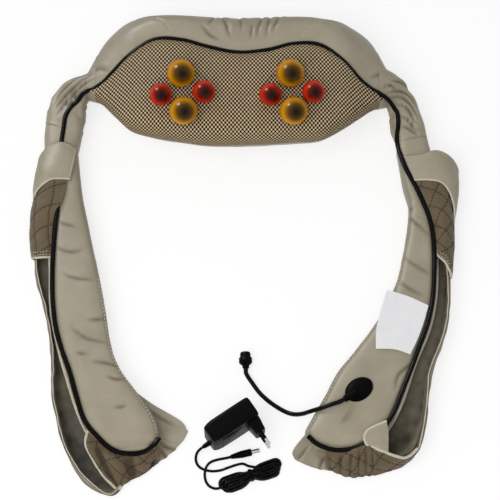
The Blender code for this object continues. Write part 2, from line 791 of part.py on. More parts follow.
def worm_shaft():
    """Steel shaft through the motor, with a right-handed worm at each wheel."""
    axis = pivot("worm_axis", (0, WORM_Y, WHEEL_Z))
    mesh = along_x(cylinder(SHAFT_RADIUS, -SHAFT_HALF_LENGTH, SHAFT_HALF_LENGTH, 12))
    made = place("worm_shaft", mesh, "steel", parent=axis)
    half = WORM_TURNS * WORM_PITCH / 2
    for sign in (-1, 1):
        centre = (sign * HEAD_X, WORM_Y, WHEEL_Z)
        core = along_x(cylinder(WORM_CORE_RADIUS, -half - 3, half + 3, 14))
        combine(made, helper("worm_core", core, centre), "UNION")
        thread = []
        for i in range(WORM_TURNS * THREAD_POINTS + 1):
            turns = i / THREAD_POINTS - WORM_TURNS / 2
            angle = math.pi * (1 + 2 * turns)
            thread.append((WORM_PITCH * turns, WORM_HELIX * math.cos(angle), WORM_HELIX * math.sin(angle)))
        combine(made, helper("worm_thread", tube(thread, WORM_THREAD_RADIUS, 0), centre), "UNION")


def gearbox():
    """Base with bosses, posts, shaft pedestals and motor saddle, cover, bushes, screws and motor."""
    low, high = BASE_LOW, BASE_TOP
    outline = rounded_rectangle(-BASE_HALF_X, BASE_HALF_X, BASE_FRONT_Y, BASE_REAR_Y, 8)
    base = place("gearbox_base", plate(outline, low, high), "grey_plastic")
    cover_outline = rounded_rectangle(-BASE_HALF_X, BASE_HALF_X, COVER_FRONT_Y, BASE_REAR_Y, 8)
    cover = place("gearbox_cover", plate(cover_outline, COVER_Z, COVER_Z + COVER_THICKNESS), "grey_plastic")
    bush_outer = SPINDLE_RADIUS + GAP + BUSH_WALL
    for side, sign in (("left", -1), ("right", 1)):
        at = (sign * HEAD_X, 0, 0)
        combine(base, helper("boss", cylinder(BOSS_RADIUS, high - 1, BOSS_TOP, 14), at), "UNION")
        spindle_bore = cylinder(SPINDLE_RADIUS + GAP, high + 0.2, BOSS_TOP + 5, 12)
        combine(base, helper("boss_bore", spindle_bore, at), "DIFFERENCE")
        collar_top = COVER_Z + COVER_THICKNESS + 6
        collar = cylinder(bush_outer + 4, COVER_Z + 1, collar_top, 16)
        combine(cover, helper("bush_collar", collar, at), "UNION")
        bore = cylinder(bush_outer + GAP, COVER_Z - 5, collar_top + 5, 16)
        combine(cover, helper("bush_bore", bore, at), "DIFFERENCE")
        inner = SPINDLE_RADIUS + GAP
        top = collar_top - 0.2
        foot = top - BUSH_LENGTH
        ring = [(bush_outer, top), (bush_outer, foot), (inner, foot), (inner, top), (bush_outer, top)]
        place(side + "_bush", turned(ring, 16), "bronze", at)
        pedestal_x = SHAFT_HALF_LENGTH - 5
        top_z = WHEEL_Z + 8
        pedestal = box((8, 16, top_z - high + 1), (sign * pedestal_x, WORM_Y, (top_z + high - 1) / 2))
        combine(base, helper("pedestal", pedestal), "UNION")
    saddle_top = WHEEL_Z - 6
    saddle_size = (MOTOR_LENGTH - 10, 2 * MOTOR_RADIUS + 6, saddle_top - high + 1)
    saddle = box(saddle_size, (0, WORM_Y, (saddle_top + high - 1) / 2))
    combine(base, helper("saddle", saddle), "UNION")
    seat = along_x(cylinder(MOTOR_RADIUS + GAP, -MOTOR_LENGTH, MOTOR_LENGTH, 20))
    combine(base, helper("motor_seat", seat, (0, WORM_Y, WHEEL_Z)), "DIFFERENCE")
    shaft_bore = along_x(cylinder(SHAFT_RADIUS + GAP, -200, 200, 12))
    combine(base, helper("shaft_bore", shaft_bore, (0, WORM_Y, WHEEL_Z)), "DIFFERENCE")
    post_x = BASE_HALF_X - 8
    corners = [(x, y) for x in (-post_x, post_x) for y in (BASE_FRONT_Y + 7, BASE_REAR_Y - 7)]
    for number, (x, y) in enumerate(corners, 1):
        post = cylinder(POST_RADIUS, high - 1, COVER_Z - GAP, 10)
        combine(base, helper("post", post, (x, y, 0)), "UNION")
        hole = helper("screw_hole", cylinder(SCREW_RADIUS + GAP, COVER_Z - SCREW_LENGTH, 80, 8), (x, y, 0))
        combine(base, hole, "DIFFERENCE")
        combine(cover, hole, "DIFFERENCE")
        seat_z = COVER_Z + COVER_THICKNESS + GAP
        tip = COVER_Z - SCREW_LENGTH + 1
        profile = [
            (0, seat_z + 2.4), (2.6, seat_z + 2.1), (3.8, seat_z + 0.9), (3.8, seat_z),
            (SCREW_RADIUS, seat_z), (SCREW_RADIUS, tip + 1), (0, tip),
        ]
        place(f"cover_screw_{number}", turned(profile, 8), "steel", (x, y, 0))
    half = MOTOR_LENGTH / 2
    bore = SHAFT_RADIUS + GAP
    nose, edge = 8.0, MOTOR_RADIUS - 1
    can = [
        (nose, half), (nose, half - 2), (edge, half - 2), (MOTOR_RADIUS, half - 3),
        (MOTOR_RADIUS, 3 - half), (edge, 2 - half), (nose, 2 - half), (nose, -half),
        (bore, -half), (bore, half), (nose, half),
    ]
    place("drive_motor", along_x(turned(can, 16)), "steel", (0, WORM_Y, WHEEL_Z))


# Arms and muffs


def arm(side, padding, gather):
    """Pad, piping, cuff and the pieces of the hand muff of one arm, all on the axis of its fold."""
    plan = ARMS[side]
    lift = PIPING_RADIUS + PIPING_LIFT
    route = [gather.point(s, a, lift) for s, a in plan["fold_piping"]]
    route += [padding.point(s, a, lift) for s, a in plan["piping"]]
    beyond = (padding.middle(1.0) - padding.middle(0.96)).normalized()
    route += [padding.point(1.0, a, 1.0) + beyond * lift for a in END_PIPING_ANGLES]
    cuff_y, hood_y = plan["cuff_y"], plan["hood_y"]
    cuff_from = [(a, WRAP_UNDER_ANGLE) for a in plan["cuff_angles"]]
    hood_angles = [angle_at(plan["piping"], padding.share_at_y(y)) - HOOD_FROM_PIPING for y in hood_y]
    hood_from = [(a, WRAP_UNDER_ANGLE) for a in hood_angles]
    pad = place(side + "_arm_pad", grid_mesh(padding.rows(18, 14), closed=True), "taupe_leather")
    pieces = [
        pad,
        place(side + "_arm_piping", tube(evenly(route, PIPING_SPACING), PIPING_RADIUS, 1), "black_cord"),
        wrap(side + "_cuff", padding, cuff_y, cuff_from, CUFF_CLEARANCE, plan["cuff_bulge"], "taupe_leather"),
        wrap(side + "_top_hood", padding, hood_y, hood_from, HOOD_CLEARANCE, HOOD_BULGE, "quilted_fabric"),
        sheet(side + "_muff", lofted(plan["muff"], 19, 6, low=FLOOR), SHEET, "taupe_leather"),
        sheet(side + "_bottom_hood", lofted(plan["bottom_hood"], 9, 5), SHEET, "quilted_fabric"),
    ]
    axis = pivot(side + "_arm_axis", (*plan["fold_at"], FOLD_Z))
    hang_on(axis, pieces)
    return pad, axis


def hang_on(axis, pieces):
    """Give pieces that lie in their place already the axis that they turn on as their parent."""
    for piece in pieces:
        piece.parent = axis
        piece.matrix_parent_inverse = Matrix.Translation(-axis.location)


def angle_at(pairs, share):
    """The angle of the piping at a share of the way along the arm."""
    for (s0, a0), (s1, a1) in zip(pairs, pairs[1:]):
        if s0 <= share <= s1:
            return a0 + (a1 - a0) * (share - s0) / (s1 - s0)
    return pairs[-1][1]


def arms():
    """Both arms and the gathers that join them to the cushion. Returns the right pad and its axis."""
    pads, gathers = {}, {}
    for side, plan in ARMS.items():
        pads[side] = Padding(plan["edges"], ARM_BOTTOM, ARM_TOP, end_share=ARM_END_SHARE)
        gathers[side] = Padding(
            plan["gather_edges"], GATHER_LOW, ARM_TOP, GATHER_HIGH_AT_NECK, ripples=GATHER_RIPPLES
        )
        place(side + "_gather", grid_mesh(gathers[side].rows(13, 12), closed=True), "taupe_leather")
    neck_piping(gathers["left"], gathers["right"])
    arm("left", pads["left"], gathers["left"])
    return arm("right", pads["right"], gathers["right"])


def right_arm_fittings(pad, axis):
    """Blank care label, grommet, cord, socket and control unit of the right arm."""
    label_guides = [[(x, y, ARM_TOP + over) for x, y, over in guide] for guide in LABEL]
    label = sheet("care_label", lofted(label_guides, 7, 5), LABEL_THICKNESS, "white_label")
    grommet_z = ARM_TOP + 1.0
    turn = (0, 0, math.radians(GROMMET_TURN))
    mesh = cylinder(1.0, 0, 1, 20, 0.62)
    mesh.transform(Matrix.Diagonal((*GROMMET_RADII, GROMMET_HEIGHT, 1)))
    grommet = place("cable_grommet", mesh, "black_rubber", (*GROMMET, grommet_z), turn=turn)
    start, towards = Vector(CORD_ROUTE[0]), Vector(CORD_ROUTE[1])
    way = (start - towards).normalized()
    neck_end = start + way * CORD_END_GAP
    neck = tube([neck_end, neck_end + way * 11], CORD_RADIUS + 1.6, 2)
    combine(grommet, helper("grommet_neck", neck), "UNION")
    cord = place("cord", tube(evenly(CORD_ROUTE, CORD_SPACING), CORD_RADIUS, 1), "black_cord")
    end, before = Vector(CORD_ROUTE[-1]), Vector(CORD_ROUTE[-2])
    way = (end - before).normalized()
    mouth, bore = 4.6, 2.9
    profile = [
        (mouth, SOCKET_LENGTH), (SOCKET_RADIUS - 0.6, SOCKET_LENGTH), (SOCKET_RADIUS, SOCKET_LENGTH - 0.8),
        (SOCKET_RADIUS, 8), (SOCKET_RADIUS - 1.4, 7), (SOCKET_RADIUS - 1.6, 4), (CORD_RADIUS + 1, 0),
        (0, 0), (0, 12), (bore, 12), (bore, SOCKET_LENGTH - 0.6), (mouth, SOCKET_LENGTH),
    ]
    flat_way = Vector((way.x, way.y, 0)).normalized()
    socket = place("dc_socket", turned(profile, 14), "black_plastic", end + flat_way * CORD_END_GAP)
    socket.rotation_euler = flat_way.to_track_quat("Z", "Y").to_euler()
    hang_on(axis, [label, grommet, cord, socket] + control_unit(pad))


def control_unit(pad):
    """Case, board, fascia and three buttons in a pocket of the pad. Returns the pieces."""
    x, y = CONTROL
    width, depth = CONTROL_SIZE
    wall = CONTROL_WALL
    case_low = FASCIA_Z + FASCIA_THICKNESS + GAP
    case_high = case_low + CASE_DEPTH
    pocket_high = case_high + GAP
    pocket = box((width + 2 * GAP, depth + 2 * GAP, 2 * pocket_high), (x, y, 0))
    combine(pad, helper("control_pocket", pocket), "DIFFERENCE")
    case_box = box((width, depth, CASE_DEPTH), (0, 0, CASE_DEPTH / 2))
    case = place("control_case", case_box, "black_plastic", (x, y, case_low))
    hollow = box((width - 2 * wall, depth - 2 * wall, CASE_DEPTH), (x, y, case_low + CASE_DEPTH / 2 - wall))
    combine(case, helper("case_hollow", hollow), "DIFFERENCE")
    fascia_box = box((width, depth, FASCIA_THICKNESS), (0, 0, FASCIA_THICKNESS / 2))
    fascia = place("control_fascia", fascia_box, "black_plastic", (x, y, FASCIA_Z))
    flange_low = FASCIA_Z + FASCIA_THICKNESS + GAP
    flange_high = flange_low + BUTTON_FLANGE
    stem_high = flange_high + BUTTON_STEM
    board_low = stem_high + BUTTON_TRAVEL + GAP
    inset = 2 * wall + 2 * GAP
    board_box = box((width - inset, depth - inset, BOARD_THICKNESS), (0, 0, BOARD_THICKNESS / 2))
    board = place("control_board", board_box, "board", (x, y, board_low))
    pieces = [case, fascia, board]
    low = FASCIA_Z - BUTTON_PROUD
    rim = BUTTON_RADIUS + BUTTON_FLANGE
    for name, step in (("power", -1), ("direction", 0), ("heat", 1)):
        at = (x + step * BUTTON_PITCH, y, 0)
        hole = helper("button_hole", cylinder(BUTTON_RADIUS + GAP, -5, 20, 12), at)
        combine(fascia, hole, "DIFFERENCE")
        profile = [
            (0, stem_high), (BUTTON_STEM_RADIUS, stem_high), (BUTTON_STEM_RADIUS, flange_high),
            (rim, flange_high), (rim, flange_low), (BUTTON_RADIUS, flange_low), (BUTTON_RADIUS, low + 0.6),
            (BUTTON_RADIUS - 0.6, low), (0, low),
        ]
        pieces.append(place(name + "_button", turned(profile, 12), "grey_plastic", at))
    return pieces


# Adapter and its lead


def adapter():
    """Plug-in adapter lying on its narrow side, its plug on the wide front face."""
    length, thickness, height = ADAPTER_SIZE
    turn = (0, 0, math.radians(ADAPTER_TURN))
    at = (*ADAPTER, GAP)
    case = place("adapter_case", box(ADAPTER_SIZE, (0, 0, height / 2), 3.0), "black_plastic", at, turn=turn)
    to_world = Matrix.Translation(at) @ Matrix.Rotation(turn[2], 4, "Z")
    block_width, block_depth, block_height = PLUG_BLOCK
    middle = to_world @ Vector((PLUG_ALONG, -thickness / 2 - block_depth / 2 + 1, height / 2))
    block = box((block_width, block_depth + 2, block_height), (0, 0, 0), 3.5)
    combine(case, helper("plug_block", block, middle, turn), "UNION")
    start = Vector(LEAD_ROUTE[0])
    relief_end = to_world @ Vector((-length / 2 + 2, 0, start.z - GAP))
    way = (start - relief_end).normalized()
    relief = tube([relief_end, start - way * CORD_END_GAP], LEAD_RADIUS + 1.2, 2)
    combine(case, helper("strain_relief", relief), "UNION")
    face = -thickness / 2 - block_depth
    for name, z in (("upper_plug_pin", PIN_SPACING / 2), ("lower_plug_pin", -PIN_SPACING / 2)):
        pin_at = to_world @ Vector((PLUG_ALONG, face, height / 2 + z))
        pin_turn = (math.pi / 2, 0, turn[2])
        seat = cylinder(PIN_RADIUS + GAP, -PIN_SEAT - GAP, PIN_SEAT, 16)
        combine(case, helper("pin_seat", seat, pin_at, pin_turn), "DIFFERENCE")
        profile = [
            (0, PIN_LENGTH), (PIN_RADIUS - 0.7, PIN_LENGTH), (PIN_RADIUS, PIN_LENGTH - 0.9),
            (PIN_RADIUS, -PIN_SEAT), (0, -PIN_SEAT),
        ]
        place(name, turned(profile, 10), "nickel", pin_at, turn=pin_turn)
    place("adapter_lead", tube(evenly(LEAD_ROUTE, LEAD_SPACING), LEAD_RADIUS, 2), "black_cord")
    place("lead_tail", tube(evenly(TAIL_ROUTE, LEAD_SPACING), LEAD_RADIUS, 2), "black_cord")
    end, before = Vector(TAIL_ROUTE[-1]), Vector(TAIL_ROUTE[-2])
    way = Vector((end.x - before.x, end.y - before.y, 0)).normalized()
    tip = PLUG_LENGTH + BARREL_LENGTH
    profile = [
        (0, tip), (BARREL_RADIUS, tip), (BARREL_RADIUS, PLUG_LENGTH), (PLUG_RADIUS - 0.6, PLUG_LENGTH),
        (PLUG_RADIUS, PLUG_LENGTH - 0.8), (PLUG_RADIUS, 9), (PLUG_RADIUS - 0.8, 8), (LEAD_RADIUS + 0.9, 0),
        (0, 0),
    ]
    plug = place("dc_plug", turned(profile, 14), "black_plastic", end + way * CORD_END_GAP)
    plug.rotation_euler = way.to_track_quat("Z", "Y").to_euler()


def hank_points():
    """Two layers of loops that spiral in and out again, all drawn in alike at the waist."""
    turns = 2 * HANK_LOOPS
    spin = math.radians(HANK_TURN)
    points = []
    for i in range(turns * POINTS_PER_LOOP + 1):
        turn = i / POINTS_PER_LOOP
        inward = min(turn, turns - turn) * HANK_STEP
        angle = math.pi + 2 * math.pi * turn
        along = (HANK_HALF_LENGTH - inward) * math.cos(angle)
        waist = HANK_WAIST * math.exp(-((along / HANK_WAIST_LENGTH) ** 2))
        height = abs(math.sin(angle))
        bow = (HANK_HALF_WIDTH - inward) * height**0.8 - waist * height**4
        aside = math.copysign(bow, math.sin(angle))
        climb = min(1.0, max(0.0, (turn - HANK_LOOPS + 0.25) / 0.5))
        z = HANK_LOW + HANK_STEP * climb * climb * (3 - 2 * climb)
        x = HANK_CENTRE[0] + along * math.cos(spin) - aside * math.sin(spin)
        y = HANK_CENTRE[1] + along * math.sin(spin) + aside * math.cos(spin)
        points.append(Vector((x, y, z)))
    return points


def least_gap(points, radius):
    """The least gap between parts of a tube that lie half a loop or more apart along it."""
    apart = POINTS_PER_LOOP // 3
    least = min(
        (points[i] - points[j]).length for i in range(len(points)) for j in range(i + apart, len(points))
    )
    return least - 2 * radius


def hank():
    points = hank_points()
    print("hank length", round(sum((b - a).length for a, b in zip(points, points[1:]))), "mm")
    print("hank least gap to itself", round(least_gap(points, LEAD_RADIUS), 2), "mm")
    place("lead_hank", tube(points, LEAD_RADIUS, 1), "black_cord")
    room = LEAD_RADIUS + 2 * GAP
    half_y = HANK_HALF_WIDTH - HANK_WAIST + room
    low, high = HANK_LOW - room, HANK_LOW + HANK_STEP + room
    wall = TIE_THICKNESS
    outer = rounded_rectangle(-half_y - wall, half_y + wall, low - wall, high + wall, 4)
    inner = rounded_rectangle(-half_y, half_y, low, high, 3)
    mesh = plate(outer, -TIE_WIDTH / 2, TIE_WIDTH / 2)
    stand = Matrix(((0, 0, 1, 0), (1, 0, 0, 0), (0, 1, 0, 0), (0, 0, 0, 1)))
    upright = Matrix.Rotation(math.radians(HANK_TURN), 4, "Z") @ stand
    mesh.transform(upright)
    tie = place("hank_tie", mesh, "black_plastic", (*HANK_CENTRE, 0))
    hole = plate(inner, -TIE_WIDTH, TIE_WIDTH)
    hole.transform(upright)
    combine(tie, helper("tie_hole", hole, (*HANK_CENTRE, 0)), "DIFFERENCE")


# Values that follow from the sizes above
WORM_PITCH = 2 * math.pi * WHEEL_PITCH_RADIUS / WHEEL_TEETH
WORM_HELIX = WORM_CORE_RADIUS + 0.8
WORM_TIP = WORM_HELIX + WORM_THREAD_RADIUS
WORM_MEAN = (WORM_CORE_RADIUS + WORM_TIP) / 2
WORM_Y = WHEEL_PITCH_RADIUS + WORM_MEAN
BASE_LOW = LEATHER + 2 * GAP
BASE_HALF_X = HEAD_X + WHEEL_PITCH_RADIUS + BASE_MARGIN
SHAFT_HALF_LENGTH = BASE_HALF_X - SHAFT_END
BASE_TOP = BASE_LOW + BASE_THICKNESS
BOSS_TOP = BASE_TOP + BOSS_HEIGHT
FOAM_LOW = COVER_Z + COVER_THICKNESS + 3.2
FOAM_HALF_X = HEAD_X + DISC_RADIUS + DISC_GAP + FOAM_RIM
# Piping as (share of the way along, angle round the padding)
LEFT_GATHER_PIPING = [(0.03, 97), (0.2, 100), (0.45, 92), (HINGE_SHARE - FOLD_SHARE, 84)]
RIGHT_GATHER_PIPING = [(0.03, 97), (0.2, 120), (0.45, 145), (HINGE_SHARE - FOLD_SHARE, 152)]
ARMS = {
    "left": {
        "edges": LEFT_ARM,
        "gather_edges": LEFT_GATHER,
        "muff": LEFT_MUFF,
        "bottom_hood": LEFT_BOTTOM_HOOD,
        "fold_at": (-230.0, FOLD_Y),
        "fold_piping": [(HINGE_SHARE + FOLD_SHARE, 83), (0.92, 82)],
        "piping": [
            (0.0, 82), (0.1, 86), (0.22, 78), (0.32, 52), (0.42, 36), (0.6, 34), (0.8, 34), (0.92, 34),
            (0.96, 35),
        ],
        "cuff_angles": (178, 178),
        "cuff_bulge": 1.0,
        "cuff_y": (-46.0, -104.0),
        "hood_y": (-104.8, -199.0),
    },
    "right": {
        "edges": RIGHT_ARM,
        "gather_edges": RIGHT_GATHER,
        "muff": RIGHT_MUFF,
        "bottom_hood": RIGHT_BOTTOM_HOOD,
        "fold_at": (230.0, FOLD_Y),
        "fold_piping": [(HINGE_SHARE + FOLD_SHARE, 152), (0.92, 151)],
        "piping": [
            (0.0, 150), (0.1, 142), (0.2, 110), (0.3, 62), (0.4, 38), (0.6, 34), (0.8, 34), (0.92, 34),
            (0.96, 35),
        ],
        "cuff_angles": (118, 92),
        "cuff_bulge": HOOD_BULGE,
        "cuff_y": (-56.0, -100.0),
        "hood_y": (-100.8, -218.6),
    },
}


clear_scene()
PARTS = collection("shiatsu_neck_massager")
CUTTERS = collection("cutters")
neck_cushion()
gearbox()
heads()
worm_shaft()
right_arm_fittings(*arms())
adapter()
hank()
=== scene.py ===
"""Visual model of a shiatsu neck massager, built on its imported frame.

Points are in millimetres in the frame of the part and become metres when a piece is made. The origin is on
the flat base of the neck cushion, midway between the axes of the two massage heads.
"""

import math

import bmesh
import bpy
import numpy as np
from mathutils import Matrix, Vector, noise


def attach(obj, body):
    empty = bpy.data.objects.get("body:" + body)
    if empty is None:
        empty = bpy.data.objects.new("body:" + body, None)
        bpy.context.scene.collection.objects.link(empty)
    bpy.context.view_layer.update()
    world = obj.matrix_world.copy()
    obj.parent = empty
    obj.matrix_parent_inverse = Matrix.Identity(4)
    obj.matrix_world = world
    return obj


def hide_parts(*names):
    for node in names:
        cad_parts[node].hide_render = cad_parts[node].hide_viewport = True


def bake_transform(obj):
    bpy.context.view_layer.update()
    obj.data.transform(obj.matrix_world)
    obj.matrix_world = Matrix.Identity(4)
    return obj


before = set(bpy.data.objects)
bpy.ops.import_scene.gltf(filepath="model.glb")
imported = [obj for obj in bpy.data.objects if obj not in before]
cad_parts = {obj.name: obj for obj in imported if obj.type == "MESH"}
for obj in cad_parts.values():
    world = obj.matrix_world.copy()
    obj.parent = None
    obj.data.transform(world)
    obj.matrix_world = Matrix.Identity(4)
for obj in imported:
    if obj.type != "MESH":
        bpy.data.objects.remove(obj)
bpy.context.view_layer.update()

bl_info = {
    "name": "Neck massager",
    "version": (1, 0, 0),
    "blender": (4, 5, 0),
    "location": "View3D > Sidebar > Massager",
    "description": "Builds the padded cover, heads, muffs and cords of a neck massager on its frame",
    "category": "Object",
}

MM = 0.001

# Massage heads
HEAD_X = 70.0
DISC_RADIUS = 37.0
DISC_GAP = 1.5
DISC_TOP = 99.0
FACING_GAP = 0.25  # round the mesh on a head
BALL_TURN = math.radians(4.0)  # of a head as photographed
STEM_RADIUS = 5.0
STEM_LOW = 89.0  # where a ball's stem ends in its carrier
LARGE_BALL = {"radius": 18.0, "orbit": 26.5, "z": 115.0}
SMALL_BALL = {"radius": 14.5, "orbit": 27.5, "z": 111.5}

# Neck cushion: a row per station along X (x, mesh edge y, piping y, collar y, crest z)
STATIONS = [
    (-198, 27, 28, 67, 55), (-180, 18, 34, 105, 65), (-160, -5, 51, 126, 78), (-138, -28, 71, 135, 91),
    (-108, -39, 88, 137, 98), (-74, -45.5, 87, 137, 100), (-38, -50.5, 76.5, 137, 100),
    (0, -50.5, 68, 137, 100), (38, -49, 71.6, 137, 100), (74, -46.5, 81, 136.5, 100),
    (108, -43, 80, 134.5, 98), (138, -25, 60, 133, 91), (160, -7, 37, 125.5, 78), (180, 9.5, 25, 109, 65),
    (198, 16.5, 18, 74, 55),
]
MESH_EDGE = 0.62  # share of the crest's height where the mesh turns in to the base
TUCK = 0.37  # lean of the wall under that edge
COLLAR_BASE = 0.66  # share of the collar's depth where it meets the flat base
MESH_SECTION = [
    ("wall", 0, 0.42), ("mesh", 0, MESH_EDGE), ("mesh", -0.03, 0.80), ("mesh", -0.01, 0.90),
    ("mesh", 0.02, 0.96), ("mesh", 0.06, 0.985), ("mesh", 0.13, 0.995), ("mesh", 0.5, 1),
    ("mesh", 0.84, 0.985), ("mesh", 0.95, 0.94), ("mesh", 1, 0.87),
]
COLLAR_SECTION = [
    ("collar", 0, 0.87), ("collar", 0.08, 0.905), ("collar", 0.28, 0.945), ("collar", 0.52, 0.95),
    ("collar", 0.74, 0.85), ("collar", 0.91, 0.62), ("collar", 0.985, 0.36), ("collar", 0.975, 0.15),
    ("collar", 0.87, 0.03), ("collar", COLLAR_BASE, 0),
]
UNDER_SECTION = [
    ("wall", 0.70, 0), ("wall", 0.30, 0), ("wall", 0.06, 0), ("wall", 0.015, 0.03), ("wall", 0, 0.14),
    ("wall", 0, 0.28), ("wall", 0, 0.42),
]
COLLAR_WRINKLES = [
    [(-23, 128), (-16, 110), (-6, 95)], [(-15, 120), (-13, 100), (-8, 87)],
    [(-47, 106), (-36, 91), (-23, 84)], [(31, 130), (33, 121), (28, 102), (24, 86)],
    [(44, 127), (41, 110), (38, 89)], [(21, 108), (18, 86)], [(-26, 129), (-32, 117), (-38, 106)],
    [(2, 132), (4, 116), (6, 98)], [(58, 130), (52, 112), (46, 96)],
]
COLLAR_DENTS = [[(28, 150), (31, 138), (32, 126)], [(-22, 150), (-24, 138), (-23, 124)],
                [(46, 150), (45, 136), (43, 122)]]
COLLAR_SEAMS = [
    [(-142, 127), (-128, 123), (-107, 117), (-93, 107), (-83, 95)],
    [(84, 91), (101, 106), (115, 113), (134, 117), (148, 119)],
]
COLLAR_FOLDS = [[(-192, 57), (-181, 58), (-170, 52)], [(174, 44), (188, 52), (198, 53)]]
FOAM_ROUND = 1.5  # of the foam's cut edges
FOAM_CORNER = math.radians(50.0)  # least turn between two faces at a cut edge

# Arms and gathers: (inner edge, outer edge) pairs
LEFT_ARM = [
    ((-209, -45), (-253, -45)), ((-202, -105), (-252, -105)), ((-191, -155), (-244, -156)),
    ((-178, -210), (-238, -212)), ((-166, -268), (-235, -268)), ((-152, -330), (-219, -332)),
    ((-122, -376), (-205, -372)), ((-106, -398), (-195, -403)), ((-98, -416), (-187, -419)),
    ((-96, -430), (-172, -433)), ((-100, -440), (-152, -447)),
]
RIGHT_ARM = [
    ((209, -45), (253, -45)), ((217, -98), (262, -98)), ((222, -126), (264, -130)),
    ((216, -172), (256, -172)), ((203, -228), (254, -230)), ((183, -271), (246, -280)),
    ((150, -316), (228, -324)), ((127, -345), (214, -360)), ((110, -377), (202, -391)),
    ((92, -409), (190, -417)), ((85, -426), (170, -434)), ((96, -440), (146, -446)),
]
LEFT_GATHER = [
    ((-198.6, 25), (-198.6, 69)), ((-200, 13), (-217, 60)), ((-202, 0), (-238, 39)),
    ((-204, -16), (-250, 13)), ((-206, -30), (-253, -14)), ((-209, -45), (-253, -45)),
]
RIGHT_GATHER = [
    ((198.6, 15), (198.6, 71)), ((201, 7), (218, 53)), ((202, -4), (234, 27)), ((204, -18), (244, 0)),
    ((208, -31), (249, -23)), ((209, -45), (253, -45)),
]
GATHER_FROM = 186.0  # x from which the gather lies over the cushion's end
GATHER_OVER = 0.6  # how far it lies over it
LEFT_FOLDS = [
    [(-195, 57), (-212, 51), (-228, 37), (-240, 19)],
    [(-186, 54), (-201, 48), (-216, 37), (-230, 22), (-239, 8)],
    [(-183, 47), (-200, 40), (-214, 29), (-227, 14), (-235, 0)], [(-202, 30), (-214, 21), (-222, 10)],
    [(-214, 60), (-229, 49), (-243, 30)], [(-230, 50), (-244, 32), (-250, 14)],
]
RIGHT_FOLDS = [
    [(190, 33), (200, 38), (210, 34)], [(196, 26), (209, 32), (220, 31), (229, 24), (234, 13)],
    [(199, 20), (214, 25), (223, 20), (231, 9), (236, -3)], [(208, 15), (220, 12), (228, 1), (232, -11)],
    [(214, -1), (223, -6), (229, -15), (234, -25)], [(216, -15), (226, -20), (236, -28)],
    [(203, 45), (217, 46), (228, 38)],
]
LEFT_SEAM = [(-258, -4), (-249, -10), (-229, -19)]
RIGHT_SEAM = [(214, -36), (230, -32), (254, -26)]
LEFT_CREASES = [
    [(-221, -220), (-202, -226), (-182, -227)], [(-188, -281), (-176, -280), (-164, -277)],
    [(-208, -291), (-189, -305), (-163, -310)], [(-181, -336), (-163, -337), (-145, -341)],
    [(-162, -354), (-150, -358), (-137, -356)], [(-201, -324), (-187, -326)], [(-228, -150), (-205, -156)],
    [(-232, -184), (-212, -190), (-196, -186)], [(-150, -396), (-136, -392)],
]
RIGHT_CREASES = [
    [(217, -139), (231, -151), (247, -168)], [(212, -196), (230, -210), (246, -219)],
    [(206, -228), (220, -240), (236, -248)], [(232, -330), (204, -350), (196, -372)],
    [(148, -388), (140, -402), (130, -414)], [(214, -120), (226, -132)],
]
ARM_LOW = 3.5  # heights of the pads' undersides and tops
ARM_TOP = 40.0
GATHER_LOW = 4.0
GATHER_TOP = 48.0  # at the cushion
# Piping: places (x, y) on the gather, then on the arm
LEFT_PIPING = (
    [(-188, 31), (-199, 25.5), (-209, 19), (-219, 9), (-225, -3), (-227, -19), (-229, -36)],
    [(-231, -62), (-231, -95), (-231, -126), (-233, -156), (-234, -188), (-234, -222), (-232, -258),
     (-227, -290), (-219, -318), (-208, -348), (-199, -377), (-191, -402), (-183, -417), (-171, -430),
     (-157, -442), (-143, -448), (-121, -447), (-104, -441), (-97, -431)],
)
RIGHT_PIPING = (
    [(186, 21.5), (196, 16), (205, 10), (210, 1), (211, -14), (210, -28), (211, -40)],
    [(214, -56), (220, -76), (230, -98), (238, -118), (246, -141), (250, -163), (251, -188), (250, -218),
     (247, -252), (239, -286), (228, -315), (216, -346), (204, -375), (194, -399), (182, -418),
     (164, -434), (143, -444), (120, -445), (101, -439), (89, -429)],
)
PIPING_Z = 34.0  # about its height on the arm

# Hand muffs: guide lines from under the pad, over the floor and up to the hem
FLOOR = 1.7  # height of a sheet's middle where it lies
LOWEST = 0.2  # least height of a sheet or an edge over the ground
LEFT_MUFF = [
    [(-220, -112), (-214, -200), (-203, -264), (-190, -320), (-174, -366), (-160, -398), (-148, -420),
     (-138, -432), (-132, -428), (-128, -418), (-128, -404), (-132, -384), (-146, -350)],
    [(-252, -112), (-257, -200), (-240, -256), (-228, -318), (-225, -372), (-211, -428), (-186, -472),
     (-154, -488), (-136, -470), (-118, -448), (-106, -428), (-104, -405), (-108, -379)],
    [(-255, -112, 7), (-258, -200, 14), (-243, -259, 14), (-232, -322, 14), (-229, -374, 14),
     (-215, -431, 14), (-190, -478, 13), (-156, -497, 10), (-138, -478, 4), (-114, -458, 3.5),
     (-90, -440, 3.5), (-76, -419, 3), (-71, -402, 3.5)],
    [(-257, -112, 12), (-258, -200, 27), (-244, -259, 30), (-232, -322, 31), (-230, -374, 31),
     (-216, -431, 30), (-190, -478, 28), (-158, -500, 20), (-140, -484, 6), (-112, -464, 4.5),
     (-85, -447, 5), (-68, -429, 5), (-61, -416, 4)],
]
